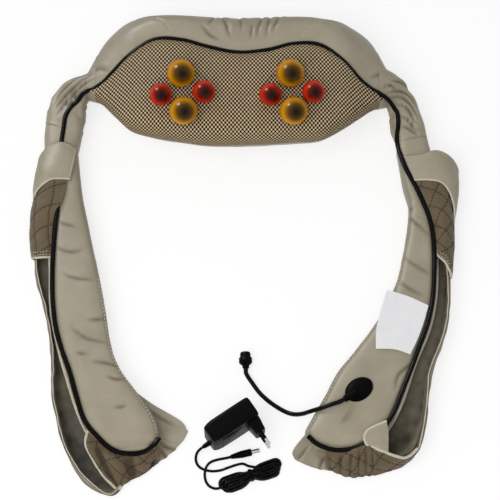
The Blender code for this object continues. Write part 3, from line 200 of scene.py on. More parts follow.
RIGHT_MUFF = [
    [(234, -112), (232, -222), (222, -270), (208, -312), (194, -350), (180, -384), (170, -404), (156, -416),
     (138, -424), (124, -424), (114, -420), (108, -414), (100, -404)],
    [(262, -112), (268, -220), (258, -288), (239, -338), (231, -392), (214, -430), (198, -444), (172, -452),
     (143, -455), (120, -450), (104, -442), (94, -432), (82, -424)],
    [(266, -112, 7), (270, -220, 14), (263, -291, 14), (244, -341, 14), (236, -394, 14), (224, -440, 13),
     (204, -452, 8), (176, -458, 4), (144, -462, 3.5), (120, -458, 3.5), (100, -452, 3.5), (85, -446, 3),
     (70, -441, 3)],
    [(268, -112, 12), (270, -220, 28), (264, -291, 30), (244, -341, 31), (237, -394, 31), (226, -444, 27),
     (206, -456, 14), (177, -462, 6), (144, -468, 5), (120, -467, 4.5), (98, -463, 4.5), (82, -457, 4.5),
     (72, -451, 4)],
]
LEFT_FLAP_FOLDS = [[(-98, -430), (-86, -437), (-70, -440)], [(-98, -438), (-90, -447), (-84, -456)],
                   [(-112, -388), (-98, -398), (-76, -410)]]
RIGHT_FLAP_FOLDS = [[(112, -446), (106, -456), (104, -466)], [(90, -434), (82, -444), (76, -452)]]
LEFT_RIBS = [(-122, -380), (-105, -397), (-89, -411)]
# Bottom hoods: lines round the end of the arm, from the pad to the floor
LEFT_BOTTOM_HOOD = [
    [(-184, -419, 27), (-170, -432, 25), (-150, -445, 23), (-126, -445, 21), (-99, -437, 20)],
    [(-187, -437, 25), (-170, -448, 26), (-146, -458, 24), (-122, -457, 21), (-97, -448, 17)],
    [(-178, -455, 20), (-160, -463, 22), (-138, -467, 19), (-117, -462, 14), (-97, -452, 10)],
    [(-166, -473, 13), (-150, -475, 16), (-132, -473, 12), (-114, -466, 8), (-97, -455, 7)],
    [(-152, -487, 7), (-142, -484, 7), (-127, -477, 6.5), (-112, -468, 6.5), (-98, -457, 6.5)],
]
RIGHT_BOTTOM_HOOD = [
    [(223, -444, 31), (207, -456, 31), (179, -448, 34), (161, -441, 37), (142, -446, 34), (111, -446, 27)],
    [(221, -449, 19), (206, -459, 19), (179, -461, 22), (160, -460, 26), (139, -462, 24), (110, -457, 19)],
    [(217, -452, 8), (203, -462, 7), (178, -470, 6.5), (160, -473, 6.5), (138, -474, 6.5),
     (113, -464, 6.5)],
]
LIP = [
    [(185, -413, 43.5), (173, -418, 44), (162, -424, 44), (157, -433, 43), (160, -442, 39)],
    [(187, -428, 41), (180, -431, 42), (172, -434, 42), (165, -438, 41), (162, -442, 39)],
    [(187, -449, 33), (181, -448.5, 33.5), (175, -447, 34.5), (168, -444.5, 36), (162, -442, 38)],
]
# Cuffs: upper and lower hem, from the inner edge over the arm to under its outer side
LEFT_CUFF = [
    [(-211, -49, 40), (-219, -44, 44), (-230, -41, 46), (-243, -44, 44), (-252, -51, 40), (-259, -61, 31),
     (-259, -66, 12), (-245, -70, 2.2)],
    [(-217, -91, 44), (-229, -91, 46), (-241, -92, 46.5), (-251, -98, 44), (-258, -104, 39),
     (-263, -110, 29), (-263, -116, 12), (-247, -118, 2.2)],
]
RIGHT_CUFF = [
    [(217, -59, 42), (238, -59, 46), (255, -54, 48), (268, -56, 46), (281, -64, 38), (288, -74, 26),
     (284, -78, 10), (262, -80, 2.2)],
    [(229, -92, 44), (248, -93, 47), (264, -97, 47), (274, -108, 43), (279, -120, 37), (281, -134, 31),
     (279.5, -147, 22), (276, -154, 7), (260, -158, 2.2)],
]
# Top hoods: lines down the arm, from beside the piping to under the outer side
LEFT_TOP_HOOD = [
    [(-219, -82, 43), (-222, -108, 44), (-226, -124, 44), (-234, -136, 41.5), (-237.5, -160, 38.5),
     (-237.5, -178, 37.5), (-237.5, -196, 37)],
    [(-239, -82, 44), (-244, -108, 43.5), (-248, -124, 43), (-251, -138, 42), (-252, -160, 40.5),
     (-251, -180, 39.5), (-250, -197, 38.5)],
    [(-257, -92, 31), (-262, -112, 29), (-264.5, -128, 28), (-265.5, -144, 27), (-265.5, -164, 26),
     (-264, -180, 26), (-262, -193, 26)],
    [(-257, -96, 9), (-261, -112, 8), (-263, -128, 8), (-263.5, -144, 8), (-263, -164, 8), (-261, -180, 8),
     (-259, -190, 8)],
    [(-251, -98, 2.2), (-254, -112, 2.2), (-256, -128, 2.2), (-256, -144, 2.2), (-256, -162, 2.2),
     (-254, -178, 2.2), (-253, -188, 2.2)],
]
RIGHT_TOP_HOOD = [
    [(227, -84, 42), (242, -118, 42), (249.5, -138, 40), (254, -163, 38), (255, -178, 37), (255, -192, 37)],
    [(246, -82, 44.5), (257, -112, 45), (263, -134, 44), (267, -160, 41), (267, -182, 40), (265, -204, 39)],
    [(264, -86, 42), (273, -114, 37), (277, -140, 31), (278, -166, 28), (276, -192, 27), (273, -218, 27)],
    [(272, -92, 18), (275, -118, 10), (277, -142, 9), (276.5, -166, 8), (274.5, -192, 8), (271, -216, 8)],
    [(262, -98, 2.2), (267, -120, 2.2), (270, -144, 2.2), (270, -166, 2.2), (268, -190, 2.2),
     (265, -211, 2.2)],
]

# Label, grommet and cord on the right arm
LABEL = [
    [(190, -242, 41.5), (182, -268, 42), (175, -295, 42.4), (174, -320, 42.2)],
    [(216, -250, 41.5), (209, -274, 41.6), (203, -298, 41.8), (197, -321, 42.6)],
    [(242, -262, 40.4), (235, -285, 41), (227, -306, 41.5), (217, -327, 42)],
]
GROMMET = (152, -372, 41)
CORD_ROUTE = [
    (138, -383, 45.5), (127, -389, 46), (115, -393, 45), (103, -396, 40), (92, -397, 30), (82, -397, 18),
    (72, -395, 8), (62, -391, 3.6), (50, -384, 3.2), (38, -375, 3.2), (28, -365, 3.4), (19.5, -353.5, 5.0),
    (14.2, -346, 6.8), (11.6, -341, 7.5), (11.4, -336, 7.6),
]
SOCKET_WAY = (-0.04, 0.9992, 0)

# Adapter, its lead and the hank: the adapter stands by itself, turned about Z
ADAPTER = (-7, -414, 0.3)
ADAPTER_TURN = math.radians(34.0)
ADAPTER_SIZE = (66.0, 27.0, 57.0)  # length, thickness, height
PLUG_ALONG = 24.5  # from the adapter's middle to its plug
PIN_SPACING = 19.0
LEAD_ROUTE = [
    (-41.8, -437.5, 9.5), (-45, -439.7, 9.2), (-49, -443.5, 6.5), (-51, -449.5, 3.6), (-50, -456, 2.2),
    (-46, -461.5, 2.0), (-39, -465, 2.0), (-30, -466.5, 2.0), (-20, -465.5, 2.6), (-10, -462.5, 5),
    (0, -460, 9), (8, -459.5, 12.5), (14, -462.5, 13.5),
]
TAIL_ROUTE = [
    (-22, -488.5, 2.6), (-28, -488.5, 3.0), (-34, -485.5, 3.0), (-38, -480, 3.0), (-39.5, -474, 4.2),
    (-39.5, -469, 6.2), (-38, -463, 6.8), (-34.5, -457.5, 6.0), (-28.5, -454, 5.3), (-21, -452, 5.1),
    (-13.5, -450.6, 5.1), (-6.5, -448.9, 5.1),
]
PLUG_WAY = (0.9718, 0.236, 0)
HANK_CENTRE = (18, -473)
HANK_TURN = math.radians(20.0)
HANK_LOOPS = 6
HANK_PITCH = 3.9  # between runs of the lead
HANK_FOLD = 3.9  # least radius at the ends
HANK_REACH = 34.0  # of the longest loop, to the middle of its fold
HANK_LOW = 1.95  # height of the lowest runs
HANK_LAYER = 3.6  # between the layers of runs

# Camera: the photograph's frame is square
CAMERA_TARGET = (0.0166, -0.1727, 0.0)
CAMERA_DISTANCE = 2.4
CAMERA_ELEVATION = math.radians(70.0)
CAMERA_LENS = 132.9  # in millimetres
# Lamps: name, place and size in metres, watts, and True if it only makes reflections, False if only light
LAMPS = (
    ("key_light", (-0.7, -1.2, 2.4), 2.2, 45.0, False),
    ("glint_light", (-1.15, 1.05, 1.4), 0.5, 48.0, True),
)


# Shapes


def curve_at(points, at):
    """Places on the smooth curve through points, at 0 to 1 of the way. The points may be rows of points."""
    p = np.asarray(points, float)
    p = np.concatenate([[2 * p[0] - p[1]], p, [2 * p[-1] - p[-2]]])
    t = np.clip(np.asarray(at, float), 0.0, 1.0) * (len(p) - 3)
    i = np.minimum(t.astype(int), len(p) - 4)
    u = (t - i).reshape(t.shape + (1,) * (p.ndim - 1))
    a, b, c, d = p[i], p[i + 1], p[i + 2], p[i + 3]
    return 0.5 * (2 * b + (c - a) * u + (2 * a - 5 * b + 4 * c - d) * u**2 + (3 * b - a - 3 * c + d) * u**3)


def loft(guides, along, across):
    """A grid of points (along, across, 3) on the smooth surface through guide lines."""
    lines = [curve_at([(*p, FLOOR)[:3] for p in guide], np.linspace(0, 1, along)) for guide in guides]
    return curve_at(lines, np.linspace(0, 1, across)).transpose(1, 0, 2)


def evenly(points, spacing):
    """Points at equal steps along a line of points."""
    p = np.asarray(points, float)
    run = run_of(p)
    at = np.linspace(0, run[-1], max(2, round(run[-1] / spacing) + 1))
    return np.stack([np.interp(at, run, p[:, k]) for k in range(3)], axis=1)


def facing(grid, around=False):
    """Unit normals of a grid of points, along its rows then columns."""
    if around:
        ring = np.concatenate([grid[:, -1:], grid, grid[:, :1]], axis=1)
        across = ring[:, 2:] - ring[:, :-2]
    else:
        across = np.gradient(grid, axis=1)
    n = np.cross(np.gradient(grid, axis=0), across)
    return n / np.maximum(np.linalg.norm(n, axis=2, keepdims=True), 1e-9)


def uneven(points, size, seed):
    """Smooth unevenness from -1 to 1, with swells about size millimetres across."""
    shift = Vector((seed * 7.31, seed * 3.17, seed * 5.73))
    values = [noise.noise(Vector(p) + shift) for p in (points.reshape(-1, 3) / size)]
    return np.array(values).reshape(points.shape[:-1])


def press(grid, lines, width, depth):
    """Creases along lines seen from above: how far each point moves out, and how much painted shade it takes
    in the crease's valley.
    """
    move = np.zeros(grid.shape[:2])
    painted_shade = np.zeros(grid.shape[:2])
    for line in lines:
        fine = curve_at(line, np.linspace(0, 1, 12))
        best = np.full(grid.shape[:2], 1e9)
        aside = np.zeros(grid.shape[:2])
        run = np.zeros(grid.shape[:2])
        for k, (a, b) in enumerate(zip(fine, fine[1:])):
            way = b - a
            away = grid[..., :2] - a
            t = np.clip((away @ way) / (way @ way), 0, 1)
            off = away - t[..., None] * way
            distance = np.hypot(off[..., 0], off[..., 1])
            side = np.sign(way[0] * away[..., 1] - way[1] * away[..., 0])
            closer = distance < best
            best = np.where(closer, distance, best)
            aside = np.where(closer, side * distance, aside)
            run = np.where(closer, (k + t) / (len(fine) - 1), run)
        strength = np.sin(np.pi * np.clip(run, 0.02, 0.98)) ** 0.6
        dip_and_shade = np.exp(-((best / width) ** 2)) * strength
        swell = np.exp(-(((aside - 2.0 * width) / (1.5 * width)) ** 2)) * np.exp(-((best / (5 * width)) ** 2))
        move += depth * (0.7 * swell * strength - dip_and_shade)
        # the dip also sets the weight of the painted shade in the crease
        painted_shade = np.maximum(painted_shade, dip_and_shade)
    return move, painted_shade


class Padding:
    """A stuffed tube between an inner and an outer edge. Angle 0 is the outer edge, 90 the top."""

    def __init__(self, pairs, low, high, high_at_start, end_share, box):
        self.inner = [(*a, 0) for a, b in pairs]
        self.outer = [(*b, 0) for a, b in pairs]
        self.low, self.high, self.high_at_start = low, high, high_at_start
        self.end_share, self.box = end_share, box

    def middle(self, share):
        """Points midway between the edges."""
        return (curve_at(self.inner, share) + curve_at(self.outer, share)) / 2

    def across(self, share):
        """Unit ways from the inner to the outer edge."""
        way = curve_at(self.outer, share) - curve_at(self.inner, share)
        return way / np.linalg.norm(way, axis=-1, keepdims=True)

    def point(self, share, angle):
        """Points on the tube."""
        share, angle = np.broadcast_arrays(np.asarray(share, float), np.asarray(angle, float))
        high = self.high_at_start + (self.high - self.high_at_start) * share
        near_end = np.maximum(0.0, (share - 0.88) / 0.12)
        half_height = (high - self.low) / 2
        half_width = np.linalg.norm(curve_at(self.outer, share) - curve_at(self.inner, share), axis=-1) / 2
        turn = np.radians(angle)
        side = np.sign(np.cos(turn)) * np.abs(np.cos(turn)) ** self.box * half_width
        up = np.sign(np.sin(turn)) * np.abs(np.sin(turn)) ** self.box * half_height
        p = self.middle(share) + self.across(share) * side[..., None]
        p[..., 2] = self.low + half_height + up * (1 - (1 - self.end_share) * near_end**2)
        return p


def outward(grid):
    """Unit normals of a tube of points, pointing out of it."""
    n = facing(grid, around=True)
    return n if (n * (grid - grid.mean(1, keepdims=True))).sum() > 0 else -n


def upward(grid):
    """Unit normals of a grid of points, most of them pointing up."""
    n = facing(grid)
    return n if n[..., 2].sum() > 0 else -n


def side_of(grid, n):
    """1 if the normals of a grid go the ways n, or -1 if they go against them."""
    return 1 if (facing(grid) * n).sum() > 0 else -1


def seat(targets, surface, over):
    """Targets moved to a surface of points and normals, straight down where it is below, and over it."""
    grid, n = (field.reshape(-1, 3) for field in surface)
    seated = []
    for target in np.asarray(targets, float):
        away = ((grid[:, :2] - target[:2]) ** 2).sum(1) + 1e6 * (n[:, 2] < 0.2)
        i = np.argmin(away)
        if away[i] < 9:
            target = target * (1, 1, 0) + (0, 0, grid[i, 2] - (target - grid[i])[:2] @ n[i, :2] / n[i, 2])
        else:
            i = np.argmin(((grid - target) ** 2).sum(1))
        seated.append(target + n[i] * (over - (target - grid[i]) @ n[i]))
    return np.array(seated)


def closeness(grid, path, width):
    """How near each point of a grid is to a path: 1 on it, fading over the width."""
    best = np.full(grid.shape[:2], 1e9)
    for p in path:
        best = np.minimum(best, ((grid - p) ** 2).sum(-1))
    return np.exp(-best / width**2)


def smooth(t):
    """A soft step from 0 to 1."""
    t = np.clip(t, 0, 1)
    return t * t * (3 - 2 * t)


def run_of(path):
    """How far along a path each of its points lies."""
    return np.concatenate([[0], np.cumsum(np.linalg.norm(np.diff(path, axis=0), axis=1))])


def quads(rows, columns, around=False):
    """Faces between the points of a grid, closed round its rows if around is set."""
    i = np.arange(rows - 1)[:, None] * columns
    j = np.arange(columns if around else columns - 1)[None]
    k = (j + 1) % columns
    return np.stack([i + j, i + columns + j, i + columns + k, i + k], axis=-1).reshape(-1, 4)


def capped(grid):
    """Points and faces of a tube of rings, with a point in the middle of each end."""
    rows, columns = grid.shape[:2]
    points = np.concatenate([grid.reshape(-1, 3), [grid[0].mean(0), grid[-1].mean(0)]])
    faces = quads(rows, columns, around=True).tolist()
    count = rows * columns
    for j in range(columns):
        k = (j + 1) % columns
        faces.append([count, j, k])
        faces.append([count + 1, count - columns + k, count - columns + j])
    return points, faces


def linked(name, data):
    """A new object in the scene."""
    made = bpy.data.objects.new(name, data)
    bpy.context.scene.collection.objects.link(made)
    return made


def make(name, points, faces, materials, indices=None, uv=None, painted_shade=None, sharp=50.0):
    """A new closed piece from points in millimetres."""
    mesh = bpy.data.meshes.new(name)
    mesh.from_pydata((np.asarray(points, float).reshape(-1, 3) * MM).tolist(), [], [list(f) for f in faces])
    for material in materials:
        mesh.materials.append(material)
    if indices is not None:
        mesh.polygons.foreach_set("material_index", np.asarray(indices, np.int32))
    if uv is not None:
        corner = np.empty(len(mesh.loops), np.int32)
        mesh.loops.foreach_get("vertex_index", corner)
        layer = mesh.uv_layers.new(name="weave")
        layer.data.foreach_set("uv", (uv.reshape(-1, 2)[corner] * MM).astype(np.float32).ravel())
    # painted shade: a weight per point, high where a crease, fold or dip would hold shade, stored for the
    # leather and cloth finishes to darken by
    if painted_shade is not None:
        layer = mesh.attributes.new("painted_shade", "FLOAT", "POINT")
        layer.data.foreach_set("value", np.asarray(painted_shade, np.float32).ravel())
    shape = bmesh.new()
    shape.from_mesh(mesh)
    bmesh.ops.remove_doubles(shape, verts=shape.verts, dist=1e-7)
    bmesh.ops.recalc_face_normals(shape, faces=shape.faces)
    shape.to_mesh(mesh)
    shape.free()
    mesh.shade_smooth()
    mesh.set_sharp_from_angle(angle=math.radians(sharp))
    made = linked(name, mesh)
    return made


def shell(name, grid, thickness, materials, side=1, painted_shade=None, uv=None, upper=None):
    """A sheet with an upper face, a lower face and a rim, each with its own material."""
    n = facing(grid) * side
    rows, columns = grid.shape[:2]
    count = rows * columns
    low = grid - n * thickness / 2
    low[..., 2] = np.maximum(low[..., 2], LOWEST)
    points = np.concatenate([(grid + n * thickness / 2).reshape(-1, 3), low.reshape(-1, 3)])
    top = quads(rows, columns)
    ring = np.concatenate([
        np.arange(columns), np.arange(1, rows) * columns + columns - 1,
        (rows - 1) * columns + np.arange(columns - 2, -1, -1), np.arange(rows - 2, 0, -1) * columns,
    ])
    after = np.roll(ring, -1)
    rim = np.stack([ring, after, after + count, ring + count], axis=-1)
    first = np.zeros(len(top), int) if upper is None else np.asarray(upper, int)
    indices = np.concatenate([first, np.full(len(top), 1), np.full(len(rim), 2)])
    faces = np.concatenate([top, top[:, ::-1] + count, rim])
    # the painted shade weights, the same on both faces
    twice = None if painted_shade is None else np.concatenate([painted_shade.ravel(), painted_shade.ravel()])
    uvs = None if uv is None else np.concatenate([uv.reshape(-1, 2), uv.reshape(-1, 2)])
    return make(name, points, faces, materials, indices, uvs, twice)


def tube(name, path, radius, materials, sides):
    """A closed round tube along a path. The radius may change along it."""
    p = np.asarray(path, float)
    way = np.gradient(p, axis=0)
    way /= np.linalg.norm(way, axis=1, keepdims=True)
    up = np.array([0.0, 0.0, 1.0]) if abs(way[0][2]) < 0.9 else np.array([1.0, 0.0, 0.0])
    turn = np.linspace(0, 2 * np.pi, sides, endpoint=False)
    rings = []
    for point, along, r in zip(p, way, np.broadcast_to(radius, len(p))):
        up = up - along * (up @ along)
        up /= np.linalg.norm(up)
        aside = np.cross(along, up)
        rings.append(point + r * (np.cos(turn)[:, None] * aside + np.sin(turn)[:, None] * up))
    points, faces = capped(np.array(rings))
    return make(name, points, faces, materials, sharp=70.0)


def turned(name, profile, materials, place, sides=48, indices=None):
    """A turned piece. The profile (radius, z) starts and ends on its axis, and place puts it in the frame."""
    turn = np.linspace(0, 2 * np.pi, sides, endpoint=False)
    profile = np.asarray(profile, float)
    radius, height = profile[:, :1], np.repeat(profile[:, 1:], sides, axis=1)
    rings = np.stack([radius * np.cos(turn), radius * np.sin(turn), height], axis=-1)
    points = [tuple(place @ Vector(p)) for p in rings.reshape(-1, 3)]
    per_face = None if indices is None else np.repeat(indices, sides)
    faces = quads(len(profile), sides, around=True)
    return make(name, points, faces, materials, per_face, sharp=35.0)


def aim(at, way):
    """A place at a point, with its Z axis along a way."""
    return Matrix.Translation(at) @ Vector(way).to_track_quat("Z", "Y").to_matrix().to_4x4()


def stitches(name, runs, material, stitch, gap, radius):
    """Threads along runs of (path, normals), each dipping into the cloth at both its ends."""
    along = np.array([-0.5, -0.32, 0.0, 0.32, 0.5]) * stitch
    height = np.array([-0.9, 0.1, 0.45, 0.1, -0.9]) * radius
    thick = np.array([0.5, 0.9, 1.0, 0.9, 0.5]) * radius
    turn = np.linspace(0, 2 * np.pi, 6, endpoint=False)
    faces_of_one = quads(5, 6, around=True).tolist() + [list(range(5, -1, -1)), list(range(24, 30))]
    points, faces = [], []
    for path, normals in runs:
        p = np.asarray(path, float)
        run = run_of(p)
        for at in np.arange(stitch / 2, run[-1] - stitch / 2, stitch + gap):
            centre, before, after = (
                np.array([np.interp(at + step, run, p[:, k]) for k in range(3)])
                for step in (0, -stitch / 2, stitch / 2)
            )
            n = np.array([np.interp(at, run, normals[:, k]) for k in range(3)])
            t = after - before
            t /= np.linalg.norm(t) + 1e-9
            n = n - t * (n @ t)
            n /= np.linalg.norm(n) + 1e-9
            b = np.cross(t, n)
            start = len(points)
            for s, h, r in zip(along, height, thick):
                for a in turn:
                    points.append(centre + t * s + n * (h + r * math.sin(a)) + b * r * math.cos(a))
            faces += [[start + i for i in f] for f in faces_of_one]
    return make(name, points, faces, [material])


def on_grid(grid, normals, rows, columns, over=0.0):
    """Points and normals at (row, column) places, which may lie between the grid's points."""
    rows, columns = np.asarray(rows, float), np.asarray(columns, float)
    i = np.clip(rows.astype(int), 0, grid.shape[0] - 2)
    j = np.clip(columns.astype(int), 0, grid.shape[1] - 2)
    u, v = (rows - i)[:, None], (columns - j)[:, None]
    found = []
    for field in (grid, normals):
        found.append((field[i, j] * (1 - u) + field[i + 1, j] * u) * (1 - v)
                     + (field[i, j + 1] * (1 - u) + field[i + 1, j + 1] * u) * v)
    return found[0] + found[1] * over, found[1]


def cord_curve(name, points, radius, material):
    """A cord as one open curve through points in millimetres."""
    line = bpy.data.curves.new(name, "CURVE")
    line.dimensions = "3D"
    line.bevel_depth = radius * MM
    line.bevel_resolution = 4
    line.use_fill_caps = True
    run = line.splines.new("POLY")
    run.points.add(len(points) - 1)
    run.points.foreach_set("co", np.column_stack([np.asarray(points) * MM, np.ones(len(points))]).ravel())
    run.use_smooth = True
    line.materials.append(material)
    made = linked(name, line)
    return made


def riding(body, slot, *pieces, stands_for=()):
    """Pieces that move with a body. The slot is not used. The first stands for CAD nodes, which are hidden.
    """
    for piece in pieces:
        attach(piece, body)
    if stands_for:
        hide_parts(*stands_for)
    return pieces[0]


# Finishes
WAVE_REPEAT = 0.314  # of a wave texture's bands at scale 1
BALL_SHADE_WAY = Vector((0.16, -0.48, 0.86)).normalized()  # from a ball's middle to the middle of its painted shade
BALL_RIM, BALL_BODY, BALL_DEEP_SHADE = 0.15, 0.50, 0.84  # how far a place faces that way: the stops of the painted shade
BALL_DEEP_SHADE_LIGHT = 0.16  # share of the colour's light that is left in the deep painted shade


def linear(code):
    """An sRGB hex colour as linear red, green, blue and alpha."""
    parts = [int(code[i:i + 2], 16) / 255 for i in (1, 3, 5)]
    return (*[c / 12.92 if c <= 0.04045 else ((c + 0.055) / 1.055) ** 2.4 for c in parts], 1.0)


def add(tree, kind, settings=None, **sockets):
    """A node with its own settings, and its sockets set to values or linked to other sockets."""
    made = tree.nodes.new("ShaderNode" + kind)
    for key, value in (settings or {}).items():
        setattr(made, key, value)
    for key, value in sockets.items():
        socket = made.inputs[int(key[1:])] if key[0] == "_" else made.inputs[key]
        if isinstance(value, bpy.types.NodeSocket):
            tree.links.new(value, socket)
        else:
            socket.default_value = value
    return made


def started(name, colour, roughness, **sockets):
    """A new material with its shader set, its tree, and where the piece lies in metres."""
    made = bpy.data.materials.new(name)
    made.use_nodes = True
    tree = made.node_tree
    shader = tree.nodes["Principled BSDF"]
    shader.inputs["Base Color"].default_value = linear(colour)
    shader.inputs["Roughness"].default_value = roughness
    for key, value in sockets.items():
        shader.inputs[key.replace("_", " ")].default_value = value
    where = add(tree, "TexCoord").outputs["Object"]
    return made, tree, shader, where


def leather(colours, sizes):
    """Imitation leather, embossed: a soft pebbled grain, satin sheen, paler and darker in random patches, and
    painted shade in creases and dips.
    """
    made, tree, shader, where = started(
        "embossed imitation leather", colours.leather, 0.47, Specular_IOR_Level=0.3)
    grain = add(tree, "TexVoronoi", {"feature": "SMOOTH_F1"}, Vector=where, Scale=1 / sizes.leather_grain)
    cloud = add(tree, "TexNoise", Vector=where, Scale=1 / 0.035, Detail=3.0)
    tone = add(tree, "MapRange", None, Value=cloud.outputs[0], _1=0.35, _2=0.65)
    plain = add(tree, "Mix", {"data_type": "RGBA"}, _0=tone.outputs[0], _6=linear(colours.leather),
                _7=linear(colours.leather_light))
    # painted shade: the leather darkens towards its shade colour where the painted shade weight is high
    dip_and_shade = add(tree, "Attribute", {"attribute_name": "painted_shade"})
    amount = add(tree, "Math", {"operation": "MULTIPLY"}, _0=dip_and_shade.outputs["Fac"], _1=0.95)
    crease_shaded = add(tree, "Mix", {"data_type": "RGBA"}, _0=amount.outputs[0], _6=plain.outputs[2],
               _7=linear(colours.leather_shade))
    fine = add(tree, "TexNoise", Vector=where, Scale=1 / 0.004, Detail=2.0)
    height = add(tree, "Math", {"operation": "ADD"}, _0=grain.outputs["Distance"], _1=fine.outputs[0])
    bump = add(tree, "Bump", None, Strength=0.22, Distance=0.0006, Height=height.outputs[0])
    tree.links.new(crease_shaded.outputs[2], shader.inputs["Base Color"])
    tree.links.new(bump.outputs[0], shader.inputs["Normal"])
    return made


def air_mesh(colours, sizes):
    """Knitted spacer mesh: twisted pale strands round diamond holes, which are painted near black as the
    shade inside them.
    """
    made, tree, shader, where = started("knitted air mesh", colours.mesh, 0.75, Specular_IOR_Level=0.1)
    place = add(tree, "UVMap", {"uv_map": "weave"})
    parts = add(tree, "SeparateXYZ", None, Vector=place.outputs[0])
    waves = []
    for part, size in ((0, sizes.mesh_width), (1, sizes.mesh_height)):
        turn = add(tree, "Math", {"operation": "MULTIPLY"}, _0=parts.outputs[part], _1=2 * math.pi / size)
        waves.append(add(tree, "Math", {"operation": "COSINE"}, _0=turn.outputs[0]).outputs[0])
    product = add(tree, "Math", {"operation": "MULTIPLY"}, _0=waves[0], _1=waves[1])
    hole = add(tree, "MapRange", {"interpolation_type": "SMOOTHSTEP"}, Value=product.outputs[0], _1=-0.15,
               _2=0.03)
    twist = add(tree, "TexNoise", Vector=where, Scale=1 / 0.0016, Detail=1.0)
    strand = add(tree, "Mix", {"data_type": "RGBA"}, _0=twist.outputs[0], _6=linear(colours.mesh_shade),
                 _7=linear(colours.mesh))
    # painted shade: the holes take a near-black colour
    whole = add(tree, "Mix", {"data_type": "RGBA"}, _0=hole.outputs[0], _6=strand.outputs[2],
                _7=linear(colours.mesh_hole_shade))
    bump = add(tree, "Bump", {"invert": True}, Strength=0.7, Distance=0.0012, Height=hole.outputs[0])
    tree.links.new(whole.outputs[2], shader.inputs["Base Color"])
    tree.links.new(bump.outputs[0], shader.inputs["Normal"])
    return made


def cloth(name, colour, shade, thread, roughness, sheen):
    """Woven cloth: crossed threads drawn coarser than they are, so that they show, darker in random patches
    and with painted shade in its dips.
    """
    made, tree, shader, where = started(name, colour, roughness, Sheen_Weight=sheen, Sheen_Roughness=0.5,
                                         Specular_IOR_Level=0.2)
    weave = []
    for axis in ("X", "Y"):
        wave = add(tree, "TexWave", {"bands_direction": axis}, Vector=where, Scale=WAVE_REPEAT / thread,
                   Distortion=0.6)
        weave.append(wave.outputs["Fac"])
    cross = add(tree, "Math", {"operation": "MULTIPLY"}, _0=weave[0], _1=weave[1])
    cloud = add(tree, "TexNoise", Vector=where, Scale=1 / 0.012, Detail=4.0)
    # darker in random patches from the noise, plus painted shade where the painted shade weight is high
    dip_and_shade = add(tree, "Attribute", {"attribute_name": "painted_shade"})
    dark = add(tree, "Math", {"operation": "MULTIPLY_ADD"}, _0=cloud.outputs[0], _1=0.6,
               _2=dip_and_shade.outputs["Fac"])
    whole = add(tree, "Mix", {"data_type": "RGBA"}, _0=dark.outputs[0], _6=linear(colour), _7=linear(shade))
    bump = add(tree, "Bump", None, Strength=0.35, Distance=0.0005, Height=cross.outputs[0])
    tree.links.new(whole.outputs[2], shader.inputs["Base Color"])
    tree.links.new(bump.outputs[0], shader.inputs["Normal"])
    return made


def moulded(name, colour, roughness, grit, metallic=0.0, gloss=0.5):
    """Moulded or drawn surface: a fine even grit, a little uneven in gloss."""
    made, tree, shader, where = started(name, colour, roughness, Metallic=metallic, Specular_IOR_Level=gloss)
    speckle = add(tree, "TexNoise", Vector=where, Scale=1 / grit, Detail=2.0)
    sheen = add(tree, "MapRange", None, Value=speckle.outputs[0], _1=0.3, _2=0.7, _3=roughness * 0.8,
                _4=min(1.0, roughness * 1.25))
    bump = add(tree, "Bump", None, Strength=0.08, Distance=0.0003, Height=speckle.outputs[0])
    tree.links.new(sheen.outputs[0], shader.inputs["Roughness"])
    tree.links.new(bump.outputs[0], shader.inputs["Normal"])
    return made


def polished_ball(name, rim, body, dark_side):
    """Polished plastic whose colour darkens to near black towards one fixed way on the ball: painted shade,
    as on the side turned from the light.
    """
    made, tree, shader, where = started(name, body, 0.24, Specular_IOR_Level=0.12)
    towards = add(tree, "VectorMath", {"operation": "NORMALIZE"}, _0=where)
    along = add(tree, "VectorMath", {"operation": "DOT_PRODUCT"}, _0=towards.outputs[0], _1=BALL_SHADE_WAY)
    ramp = add(tree, "ValToRGB", None, Fac=along.outputs["Value"])
    ramp.color_ramp.interpolation = "LINEAR"
    stops = ramp.color_ramp.elements
    stops[0].position, stops[0].color = BALL_RIM, linear(rim)
    stops[1].position, stops[1].color = 1.0, linear(dark_side)
    stops.new(BALL_BODY).color = linear(body)
    # deep painted shade: the body colour with only a small share of its light
    stops.new(BALL_DEEP_SHADE).color = [channel * BALL_DEEP_SHADE_LIGHT for channel in linear(body)[:3]] + [1.0]
    tree.links.new(ramp.outputs[0], shader.inputs["Base Color"])
    return made


